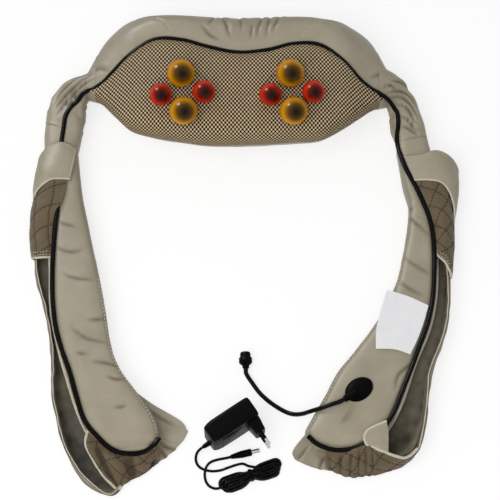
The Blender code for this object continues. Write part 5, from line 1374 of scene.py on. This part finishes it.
class MASSAGER_OT_muffs(bpy.types.Operator):
    """Cuffs, quilted hoods and lined sheets of the hand muffs, with their bound hems"""

    bl_idname = "massager.muffs"
    bl_label = "Hand muffs"

    def execute(self, context):
        sizes = context.scene.massager_sizes
        self.binding = sizes.binding_radius / MM
        self.cell = (sizes.quilt_width / MM, sizes.quilt_height / MM)
        for side in SIDES:
            self.cuff(side)
            self.top_hood(side)
            self.muff(side)
            self.bottom_hood(side)
        self.lip()
        return {"FINISHED"}

    def bind(self, name, path, side, thickness=1.0, kind="binding"):
        """A bound or rolled edge along a path, which stays over the ground."""
        path = evenly(path, 2.0)
        path[:, 2] = np.maximum(path[:, 2], self.binding * thickness + LOWEST)
        made = tube(name, path, self.binding * thickness, [finish(kind)], 10)
        return riding(SIDES[side]["body"], "white_label" if kind == "binding" else "taupe_leather", made)

    def cuff(self, side):
        """The leather cuff round the outer side of an arm, with its two hems."""
        plan = SIDES[side]
        top, low = (curve_at(hem, np.linspace(0, 1, 90)) for hem in plan["cuff"])
        u = np.linspace(0, 1, 50)[:, None, None]
        grid = top + (low - top) * u
        n = upward(grid)
        bow = 2.5 * np.sin(np.pi * u[..., 0]) + 0.8 * uneven(grid, 30, 21) + 0.4 * uneven(grid, 12, 22)
        grid = grid + n * bow[..., None]
        grid[..., 2] = np.maximum(grid[..., 2], FLOOR)
        finishes = [finish("leather"), finish("lining"), finish("leather")]
        made = shell(side + "_cuff_cover", grid, 1.8, finishes, side_of(grid, n), np.zeros(grid.shape[:2]))
        riding(plan["body"], "taupe_leather", made, stands_for=(side + "_cuff",))
        edge = np.concatenate([grid[::-1, 0], grid[0]]) if side == "left" else grid[0]
        hems = [self.bind(side + "_cuff_top_hem", edge, side, 1.0, "leather"),
                self.bind(side + "_cuff_low_hem", grid[-1], side, 0.8)]

    def quilted(self, grid, n, lift, lean_down, lean_across):
        """Puffs between crossing lines of stitching: the grid moved out, painted shade weights along the
        stitching, and the runs of thread.
        """
        run_u, run_v = run_of(grid[:, grid.shape[1] // 3]), run_of(grid[grid.shape[0] // 2])
        down = (run_v[None] + lean_down * run_u[:, None]) / self.cell[0] + 0.35
        across = (run_u[:, None] - lean_across * run_v[None]) / self.cell[1] + 0.5
        near = np.minimum(np.abs(np.sin(np.pi * down)), np.abs(np.sin(np.pi * across)))
        puffed = grid + n * (lift * near**0.6)[..., None]
        runs = []
        for k in range(math.ceil(down.min()), math.floor(down.max()) + 1):
            u = np.linspace(1, run_u[-1] - 1, 200)
            v = (k - 0.35) * self.cell[0] - lean_down * u
            runs.append((u, v))
        for k in range(math.ceil(across.min()), math.floor(across.max()) + 1):
            v = np.linspace(1, run_v[-1] - 1, 200)
            u = (k - 0.5) * self.cell[1] + lean_across * v
            runs.append((u, v))
        threads = []
        for u, v in runs:
            inside = (v > 1) & (v < run_v[-1] - 1) & (u > 1) & (u < run_u[-1] - 1)
            if inside.sum() > 12:
                rows = np.interp(u[inside], run_u, np.arange(len(run_u)))
                columns = np.interp(v[inside], run_v, np.arange(len(run_v)))
                path, normals = on_grid(puffed, n, rows, columns, 1.0)
                shown = path[:, 2] > 6
                threads.append((path[shown], normals[shown]))
        # painted shade along the stitched dips between the puffs
        return puffed, np.clip(0.35 - near * 1.2, 0, 1), threads

    def top_hood(self, side):
        """The quilted hood under a cuff, with its bound hem."""
        plan = SIDES[side]
        grid = loft(plan["top_hood"], 120, 100)
        n = upward(grid)
        puffed, shade_weights, runs = self.quilted(grid, n, 1.3, *((0.1, 0.4) if side == "left" else (0.75, 0.9)))
        puffed[..., 2] = np.maximum(puffed[..., 2], FLOOR)
        finishes = [finish("quilting"), finish("lining"), finish("quilting")]
        made = shell(side + "_top_hood_cover", puffed, 2.0, finishes, side_of(puffed, n), shade_weights)
        riding(plan["body"], "quilted_fabric", made, stands_for=(side + "_top_hood",))
        threads = stitches(side + "_top_hood_thread", runs, finish("dark_thread"), 2.0, 2.2, 0.8)
        riding(plan["body"], "quilted_fabric", threads)
        columns = np.linspace(2, 97, 120)
        rows = [on_grid(puffed, n, np.full(120, 119.0 - back), columns, 1.0) for back in (4, 9)]
        pale = stitches(side + "_top_hood_hem_thread", rows, finish("pale_thread"), 2.6, 1.6, 0.45)
        riding(plan["body"], "quilted_fabric", pale)
        low = self.bind(side + "_top_hood_hem", puffed[-1, :56], side)

    def muff(self, side):
        """The lined sheet of a muff, whose last part shows its leather side as a flap."""
        plan = SIDES[side]
        grid = loft(plan["muff"], 240, 80)
        n = upward(grid)
        u = np.linspace(0, 1, 240)[:, None]
        v = np.linspace(0, 1, 80)[None]
        flap = smooth((u - plan["flap_from"]) / 0.04)
        wave = 1.6 * uneven(grid, 34, 31) * np.clip((v - 0.3) / 0.4, 0, 1) * (1 - 0.5 * flap)
        wave = wave + 0.9 * uneven(grid, 14, 32) * np.clip(v * 2, 0, 1)
        inside = smooth((v - 0.25) / 0.2) * smooth((0.95 - v) / 0.1) * (1 - flap)
        wave = wave + 2.2 * np.sin(2 * np.pi * (2.3 * v + 0.5 * u)) * inside
        fold, fold_shade = press(grid, plan["flap_folds"], 2.4, 2.2)
        move = wave + fold * flap
        if side == "left":
            line = curve_at([(*p, 3.0) for p in LEFT_RIBS], np.linspace(0, 1, 60))
            along = np.argmin(((grid[:, :, None, :2] - line[None, None, :, :2]) ** 2).sum(-1), axis=2)
            move = move + 0.8 * np.sin(along * 2 * np.pi / 5) * closeness(grid, line, 4.0) * flap
        grid = grid + n * move[..., None]
        grid[..., 2] = np.maximum(grid[..., 2], FLOOR)
        # painted shade: darker deep inside the muff, in the troughs of its waves and in the flap's folds
        deep_shade = 0.55 * smooth((u - 0.2) / 0.25) * (1 - flap)
        shade_weights = np.clip(np.maximum(deep_shade - wave / 3.0, fold_shade * flap), 0, 1)
        upper = np.repeat((np.arange(239) + 0.5) / 239 > plan["flap_from"], 79)
        finishes = [finish("lining"), finish("leather"), finish("quilting")]
        made = shell(side + "_muff_sheet", grid, 1.6, finishes, side_of(grid, n), shade_weights, upper=upper)
        riding(plan["body"], "taupe_leather", made, stands_for=(side + "_muff",))
        last = int(240 * (plan["flap_from"] - (0.01 if side == "left" else 0.2)))
        hem = self.bind(side + "_muff_hem", grid[:last, -2] + n[:last, -2] * 0.9, side, 0.55)
        run = on_grid(grid, n, np.linspace(0, last, 240), np.full(240, 76.0), 1.0)
        threads = stitches(side + "_muff_thread", [run], finish("pale_thread"), 2.6, 1.8, 0.4)
        riding(plan["body"], "taupe_leather", threads)

    def bottom_hood(self, side):
        """The quilted hood round the end of an arm, in folds, with its bound edge."""
        plan = SIDES[side]
        grid = loft(plan["bottom_hood"], 150, 60)
        n = upward(grid)
        u = np.linspace(0, 1, 150)[:, None]
        v = np.linspace(0, 1, 60)[None]
        if side == "left":
            fold = 3.2 * np.sin(2 * np.pi * (2.6 * u + 0.5 * v)) * smooth(np.minimum(u, 1 - u) / 0.12)
        else:
            fold = 1.6 * np.sin(2 * np.pi * 11.0 * u + 1.2 * v)
            fold = fold * smooth((u - 0.42) / 0.08) * smooth((1 - u) / 0.06)
        fold = fold * smooth(v / 0.3) * np.sin(np.pi * np.clip(v, 0.08, 0.92)) ** 0.5
        puffed, shade_weights, runs = self.quilted(grid + n * fold[..., None], n, 1.0, 0.5, 0.6)
        puffed[..., 2] = np.maximum(puffed[..., 2], 3.6)
        # painted shade along the stitching and in the troughs of the folds
        shade_weights = np.clip(shade_weights * 0.8 + np.clip(-fold / 2.0, 0, 1) * 0.7, 0, 1)
        finishes = [finish("quilting"), finish("binding"), finish("quilting")]
        made = shell(side + "_bottom_hood_cover", puffed, 2.0, finishes, side_of(puffed, n), shade_weights)
        riding(plan["body"], "quilted_fabric", made, stands_for=(side + "_bottom_hood",))
        threads = stitches(side + "_bottom_hood_thread", runs, finish("dark_thread"), 2.0, 2.2, 0.8)
        riding(plan["body"], "quilted_fabric", threads)
        if side == "left":
            turned_in = puffed[0, -1] + np.array([(3, -3, -1), (7, -3, -1), (9, 1, -1)])
            bound = np.concatenate([puffed[0], turned_in])
        else:
            bound = puffed[:round(0.55 * 150), 0][::-1]
        edge = self.bind(side + "_bottom_hood_edge", bound, side, 1.2)

    def lip(self):
        """The hood's corner, turned out beside the piping on the right arm."""
        grid = loft(LIP, 50, 30)
        n = upward(grid)
        grid = grid + n * (0.7 * uneven(grid, 12, 41))[..., None]
        made = shell("right_hood_lip", grid, 1.6, [finish("leather")] * 3, side_of(grid, n),
                     np.zeros(grid.shape[:2]))
        riding("right_arm", "quilted_fabric", made)
        edge = self.bind("right_hood_lip_edge", np.concatenate([grid[:, 0], grid[-1]]), "right", 1.1)


class MASSAGER_OT_fittings(bpy.types.Operator):
    """Blank label and cable grommet on the right arm"""

    bl_idname = "massager.fittings"
    bl_label = "Label and grommet"

    def execute(self, context):
        grid = loft(LABEL, 60, 40)
        v = np.linspace(0, 1, 40)[None]
        u = np.linspace(0, 1, 60)[:, None]
        grid[..., 2] += 0.5 + 1.4 * u**2 * np.sin(np.pi * v) + 1.0 * (1 - v) ** 3
        n = facing(grid)
        label = shell("blank_label", grid, 0.5, [finish("label")] * 3, 1 if n[30, 20, 2] > 0 else -1,
                      np.zeros(grid.shape[:2]))
        riding("right_arm", "white_label", label, stands_for=("care_label",))
        profile = [(0, 5.6), (0.3, 5.5), (0.62, 4.9), (0.8, 3.8), (0.9, 2.4), (0.97, 1.6), (1.0, 0.8),
                   (1.0, 0), (0, 0)]
        place = (Matrix.Translation(GROMMET) @ Matrix.Rotation(math.radians(35), 4, "Z")
                 @ Matrix.Diagonal((19, 14, 1, 1)))
        grommet = turned("oval_grommet", profile, [finish("rubber")], place, 64)
        riding("right_arm", "black_rubber", grommet, stands_for=("cable_grommet",))
        start, after = Vector(CORD_ROUTE[0]), Vector(CORD_ROUTE[1])
        way = (start - after).normalized()
        neck = [4.0 + 0.05 * i + (0.35 if i % 4 < 2 else 0.0) for i in range(24)]
        path = np.array([start - way * 5.0 + way * 0.75 * i for i in range(24)])
        relief = tube("grommet_neck", path, np.array(neck), [finish("rubber")], 20)
        riding("right_arm", "black_rubber", relief)
        return {"FINISHED"}


class MASSAGER_OT_adapter(bpy.types.Operator):
    """Plug-in adapter: case, front plate, plug block, pins and strain relief"""

    bl_idname = "massager.adapter"
    bl_label = "Adapter"

    def execute(self, context):
        self.place = Matrix.Translation(ADAPTER) @ Matrix.Rotation(ADAPTER_TURN, 4, "Z")
        length, thickness, height = ADAPTER_SIZE
        case = self.rounded("adapter_body", [
            (-33, 20, 50, 5), (-32.5, 21.6, 52, 5.5), (-31, 23.4, 54, 5.5), (-27, 25.4, 56, 5),
            (-21, 26.8, 57, 4.5), (0.0, 27, 57, 4), (28, 27, 57, 4), (31, 26.6, 56.6, 5),
            (32.5, 25.4, 55.4, 5), (33, 23.5, 53.5, 5),
        ], "X", (0, 0, height / 2))
        riding("cushion", "black_plastic", case, stands_for=("adapter_case",))
        block = self.rounded("adapter_plug_block", [
            (0.0, 17, 38, 7), (5, 16.6, 37, 7.4), (10, 15, 34, 7), (15.2, 14, 32.5, 6.6),
            (16.6, 13, 31.4, 6.2), (17.2, 11, 29, 5),
        ], "Y", (PLUG_ALONG, -thickness / 2 + 0.4, height / 2))
        plate = self.rounded("adapter_plate", [
            (0, 30, 34, 3), (0.5, 29.6, 33.6, 3), (0.7, 28.6, 32.6, 3),
        ], "Y", (-6, -thickness / 2 + 0.1, height / 2))
        riding("cushion", "black_plastic", block, plate)
        way = self.place.to_3x3() @ Vector((0, -1, 0))
        for node, z in (("upper_plug_pin", PIN_SPACING / 2), ("lower_plug_pin", -PIN_SPACING / 2)):
            at = self.place @ Vector((PLUG_ALONG, -thickness / 2 - 17, height / 2 + z))
            profile = [(0, -3), (2.4, -3), (2.4, 0.4), (2.05, 1.0), (2.05, 10), (2.0, 10.3), (2.0, 17.6),
                       (1.5, 18.8), (0, 19)]
            pin = turned(node.replace("plug", "round"), profile, [finish("abs"), finish("nickel")],
                         aim(at, way), 32, [0, 0, 0, 0, 1, 1, 1, 1])
            riding("cushion", "nickel", pin, stands_for=(node,))
        end = Vector(LEAD_ROUTE[0])
        start = self.place @ Vector((-length / 2 + 2, 0, end.z - 0.3))
        steps = np.linspace(0, 1, 30)
        path = np.array([start.lerp(end, t) for t in steps])
        radius = 3.6 - 1.2 * steps + 0.3 * (np.arange(30) % 6 < 3)
        relief = tube("adapter_relief", path, radius, [finish("abs")], 18)
        riding("cushion", "black_plastic", relief)
        return {"FINISHED"}

    def rounded(self, name, stations, axis, at):
        """A moulding through rounded rectangles (along, width, height, corner), along X or against Y."""
        rings = []
        for along, width, height, corner in stations:
            ring = []
            for sx, sz, start in ((1, 1, 0), (-1, 1, 90), (-1, -1, 180), (1, -1, 270)):
                for step in range(7):
                    angle = math.radians(start + 15 * step)
                    a = sx * (width / 2 - corner) + corner * math.cos(angle)
                    b = sz * (height / 2 - corner) + corner * math.sin(angle)
                    ring.append((along, a, b) if axis == "X" else (a, -along, b))
            rings.append(ring)
        grid = np.array(rings) + at
        points, faces = capped(grid)
        placed = [tuple(self.place @ Vector(p)) for p in points]
        return make(name, placed, faces, [finish("abs")], sharp=28.0)


class MASSAGER_OT_works(bpy.types.Operator):
    """Finishes of the drive, the gearbox, the control unit and the other pieces that keep their shape"""

    bl_idname = "massager.works"
    bl_label = "Inner works"

    def execute(self, context):
        kinds = {
            "grey_abs": ("gearbox_base", "gearbox_cover", "power_button", "direction_button", "heat_button"),
            "steel": ("drive_motor", "worm_shaft", "left_spindle", "right_spindle", "cover_screw_1",
                      "cover_screw_2", "cover_screw_3", "cover_screw_4"),
            "bronze": ("left_bush", "right_bush"),
            "acetal": ("left_worm_wheel", "right_worm_wheel"),
            "abs": ("left_carrier", "right_carrier", "control_case", "control_fascia"),
            "board": ("control_board",),
        }
        for kind, nodes in kinds.items():
            for name in nodes:
                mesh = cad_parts[name].data
                mesh.materials.clear()
                mesh.materials.append(finish(kind))
        return {"FINISHED"}


class MASSAGER_OT_stage(bpy.types.Operator):
    """Pale floor, soft studio light and the camera"""

    bl_idname = "massager.stage"
    bl_label = "Stage"

    def execute(self, context):
        scene = context.scene
        scene.view_settings.view_transform = "Standard"
        self.floor()
        self.world(scene)
        for name, at, size, power, shine in LAMPS:
            lamp = bpy.data.lights.new(name, "AREA")
            lamp.size, lamp.energy = size, power
            made = linked(name, lamp)
            made.location = at
            made.visible_glossy = shine
            made.visible_diffuse = not shine
            made.rotation_euler = (Vector(CAMERA_TARGET) - Vector(at)).to_track_quat("-Z", "Y").to_euler()
        lens = bpy.data.cameras.new("camera")
        lens.lens = CAMERA_LENS
        eye = linked("camera", lens)
        eye.location = Vector(CAMERA_TARGET) + CAMERA_DISTANCE * Vector(
            (0, -math.cos(CAMERA_ELEVATION), math.sin(CAMERA_ELEVATION)))
        eye.rotation_euler = (math.pi / 2 - CAMERA_ELEVATION, 0, 0)
        scene.camera = eye
        return {"FINISHED"}

    def floor(self):
        """White paper that takes the shadows, brighter for the rays that the eye sees."""
        mesh = bpy.data.meshes.new("floor")
        reach, low = 4.0, -0.0004
        corners = [(-reach, -reach, low), (reach, -reach, low), (reach, reach, low), (-reach, reach, low)]
        mesh.from_pydata(corners, [], [(0, 1, 2, 3)])
        floor = linked("floor", mesh)
        made = bpy.data.materials.new("matt white paper")
        made.use_nodes = True
        tree = made.node_tree
        tree.nodes.remove(tree.nodes["Principled BSDF"])
        lit = add(tree, "BsdfDiffuse", None, Color=(0.34, 0.34, 0.34, 1.0))
        glow = add(tree, "Emission", None, Color=(1.0, 1.0, 1.0, 1.0), Strength=0.72)
        seen = add(tree, "AddShader", None, _0=lit.outputs[0], _1=glow.outputs[0])
        bounce = add(tree, "BsdfDiffuse", None, Color=(0.8, 0.8, 0.8, 1.0))
        mix = add(tree, "MixShader", None, _0=self.eye_rays(tree), _1=bounce.outputs[0], _2=seen.outputs[0])
        tree.links.new(mix.outputs[0], tree.nodes["Material Output"].inputs[0])
        mesh.materials.append(made)

    def eye_rays(self, tree):
        """1 for rays that the eye sees, straight, mirrored or through something clear."""
        path = add(tree, "LightPath")
        first = add(tree, "Math", {"operation": "MAXIMUM"}, _0=path.outputs["Is Camera Ray"],
                    _1=path.outputs["Is Glossy Ray"])
        return add(tree, "Math", {"operation": "MAXIMUM"}, _0=first.outputs[0],
                   _1=path.outputs["Is Transmission Ray"]).outputs[0]

    def world(self, scene):
        """Even light from all round, which looks white to the eye."""
        scene.world = bpy.data.worlds.new("studio")
        scene.world.use_nodes = True
        tree = scene.world.node_tree
        tree.nodes.remove(tree.nodes["Background"])
        soft = add(tree, "Background", None, Color=(1.0, 1.0, 1.0, 1.0), Strength=0.38)
        white = add(tree, "Background", None, Color=(1.0, 1.0, 1.0, 1.0), Strength=1.0)
        mix = add(tree, "MixShader", None, _0=self.eye_rays(tree), _1=soft.outputs[0], _2=white.outputs[0])
        tree.links.new(mix.outputs[0], tree.nodes["World Output"].inputs[0])


STEPS = (
    MASSAGER_OT_cords, MASSAGER_OT_heads, MASSAGER_OT_cushion, MASSAGER_OT_gathers, MASSAGER_OT_arms,
    MASSAGER_OT_piping, MASSAGER_OT_muffs, MASSAGER_OT_fittings, MASSAGER_OT_adapter, MASSAGER_OT_works,
    MASSAGER_OT_stage,
)


class MASSAGER_PT_panel(bpy.types.Panel):
    """Steps, sizes and colours of the massager"""

    bl_idname = "MASSAGER_PT_panel"
    bl_label = "Neck massager"
    bl_space_type = "VIEW_3D"
    bl_region_type = "UI"
    bl_category = "Massager"

    def draw(self, context):
        for step in STEPS:
            self.layout.operator(step.bl_idname)
        for group in (context.scene.massager_sizes, context.scene.massager_colours):
            box = self.layout.box()
            for name in group.__annotations__:
                box.prop(group, name)


CLASSES = (MassagerColours, MassagerSizes, *STEPS, MASSAGER_PT_panel)


def register():
    for each in CLASSES:
        bpy.utils.register_class(each)
    bpy.types.Scene.massager_colours = bpy.props.PointerProperty(type=MassagerColours)
    bpy.types.Scene.massager_sizes = bpy.props.PointerProperty(type=MassagerSizes)


def unregister():
    del bpy.types.Scene.massager_sizes
    del bpy.types.Scene.massager_colours
    for each in reversed(CLASSES):
        bpy.utils.unregister_class(each)


def main():
    register()
    bpy.ops.massager.cords()
    bpy.ops.massager.heads()
    bpy.ops.massager.cushion()
    bpy.ops.massager.gathers()
    bpy.ops.massager.arms()
    bpy.ops.massager.piping()
    bpy.ops.massager.muffs()
    bpy.ops.massager.fittings()
    bpy.ops.massager.adapter()
    bpy.ops.massager.works()
    bpy.ops.massager.stage()
    bpy.context.view_layer.update()


if __name__ == "__main__":
    main()
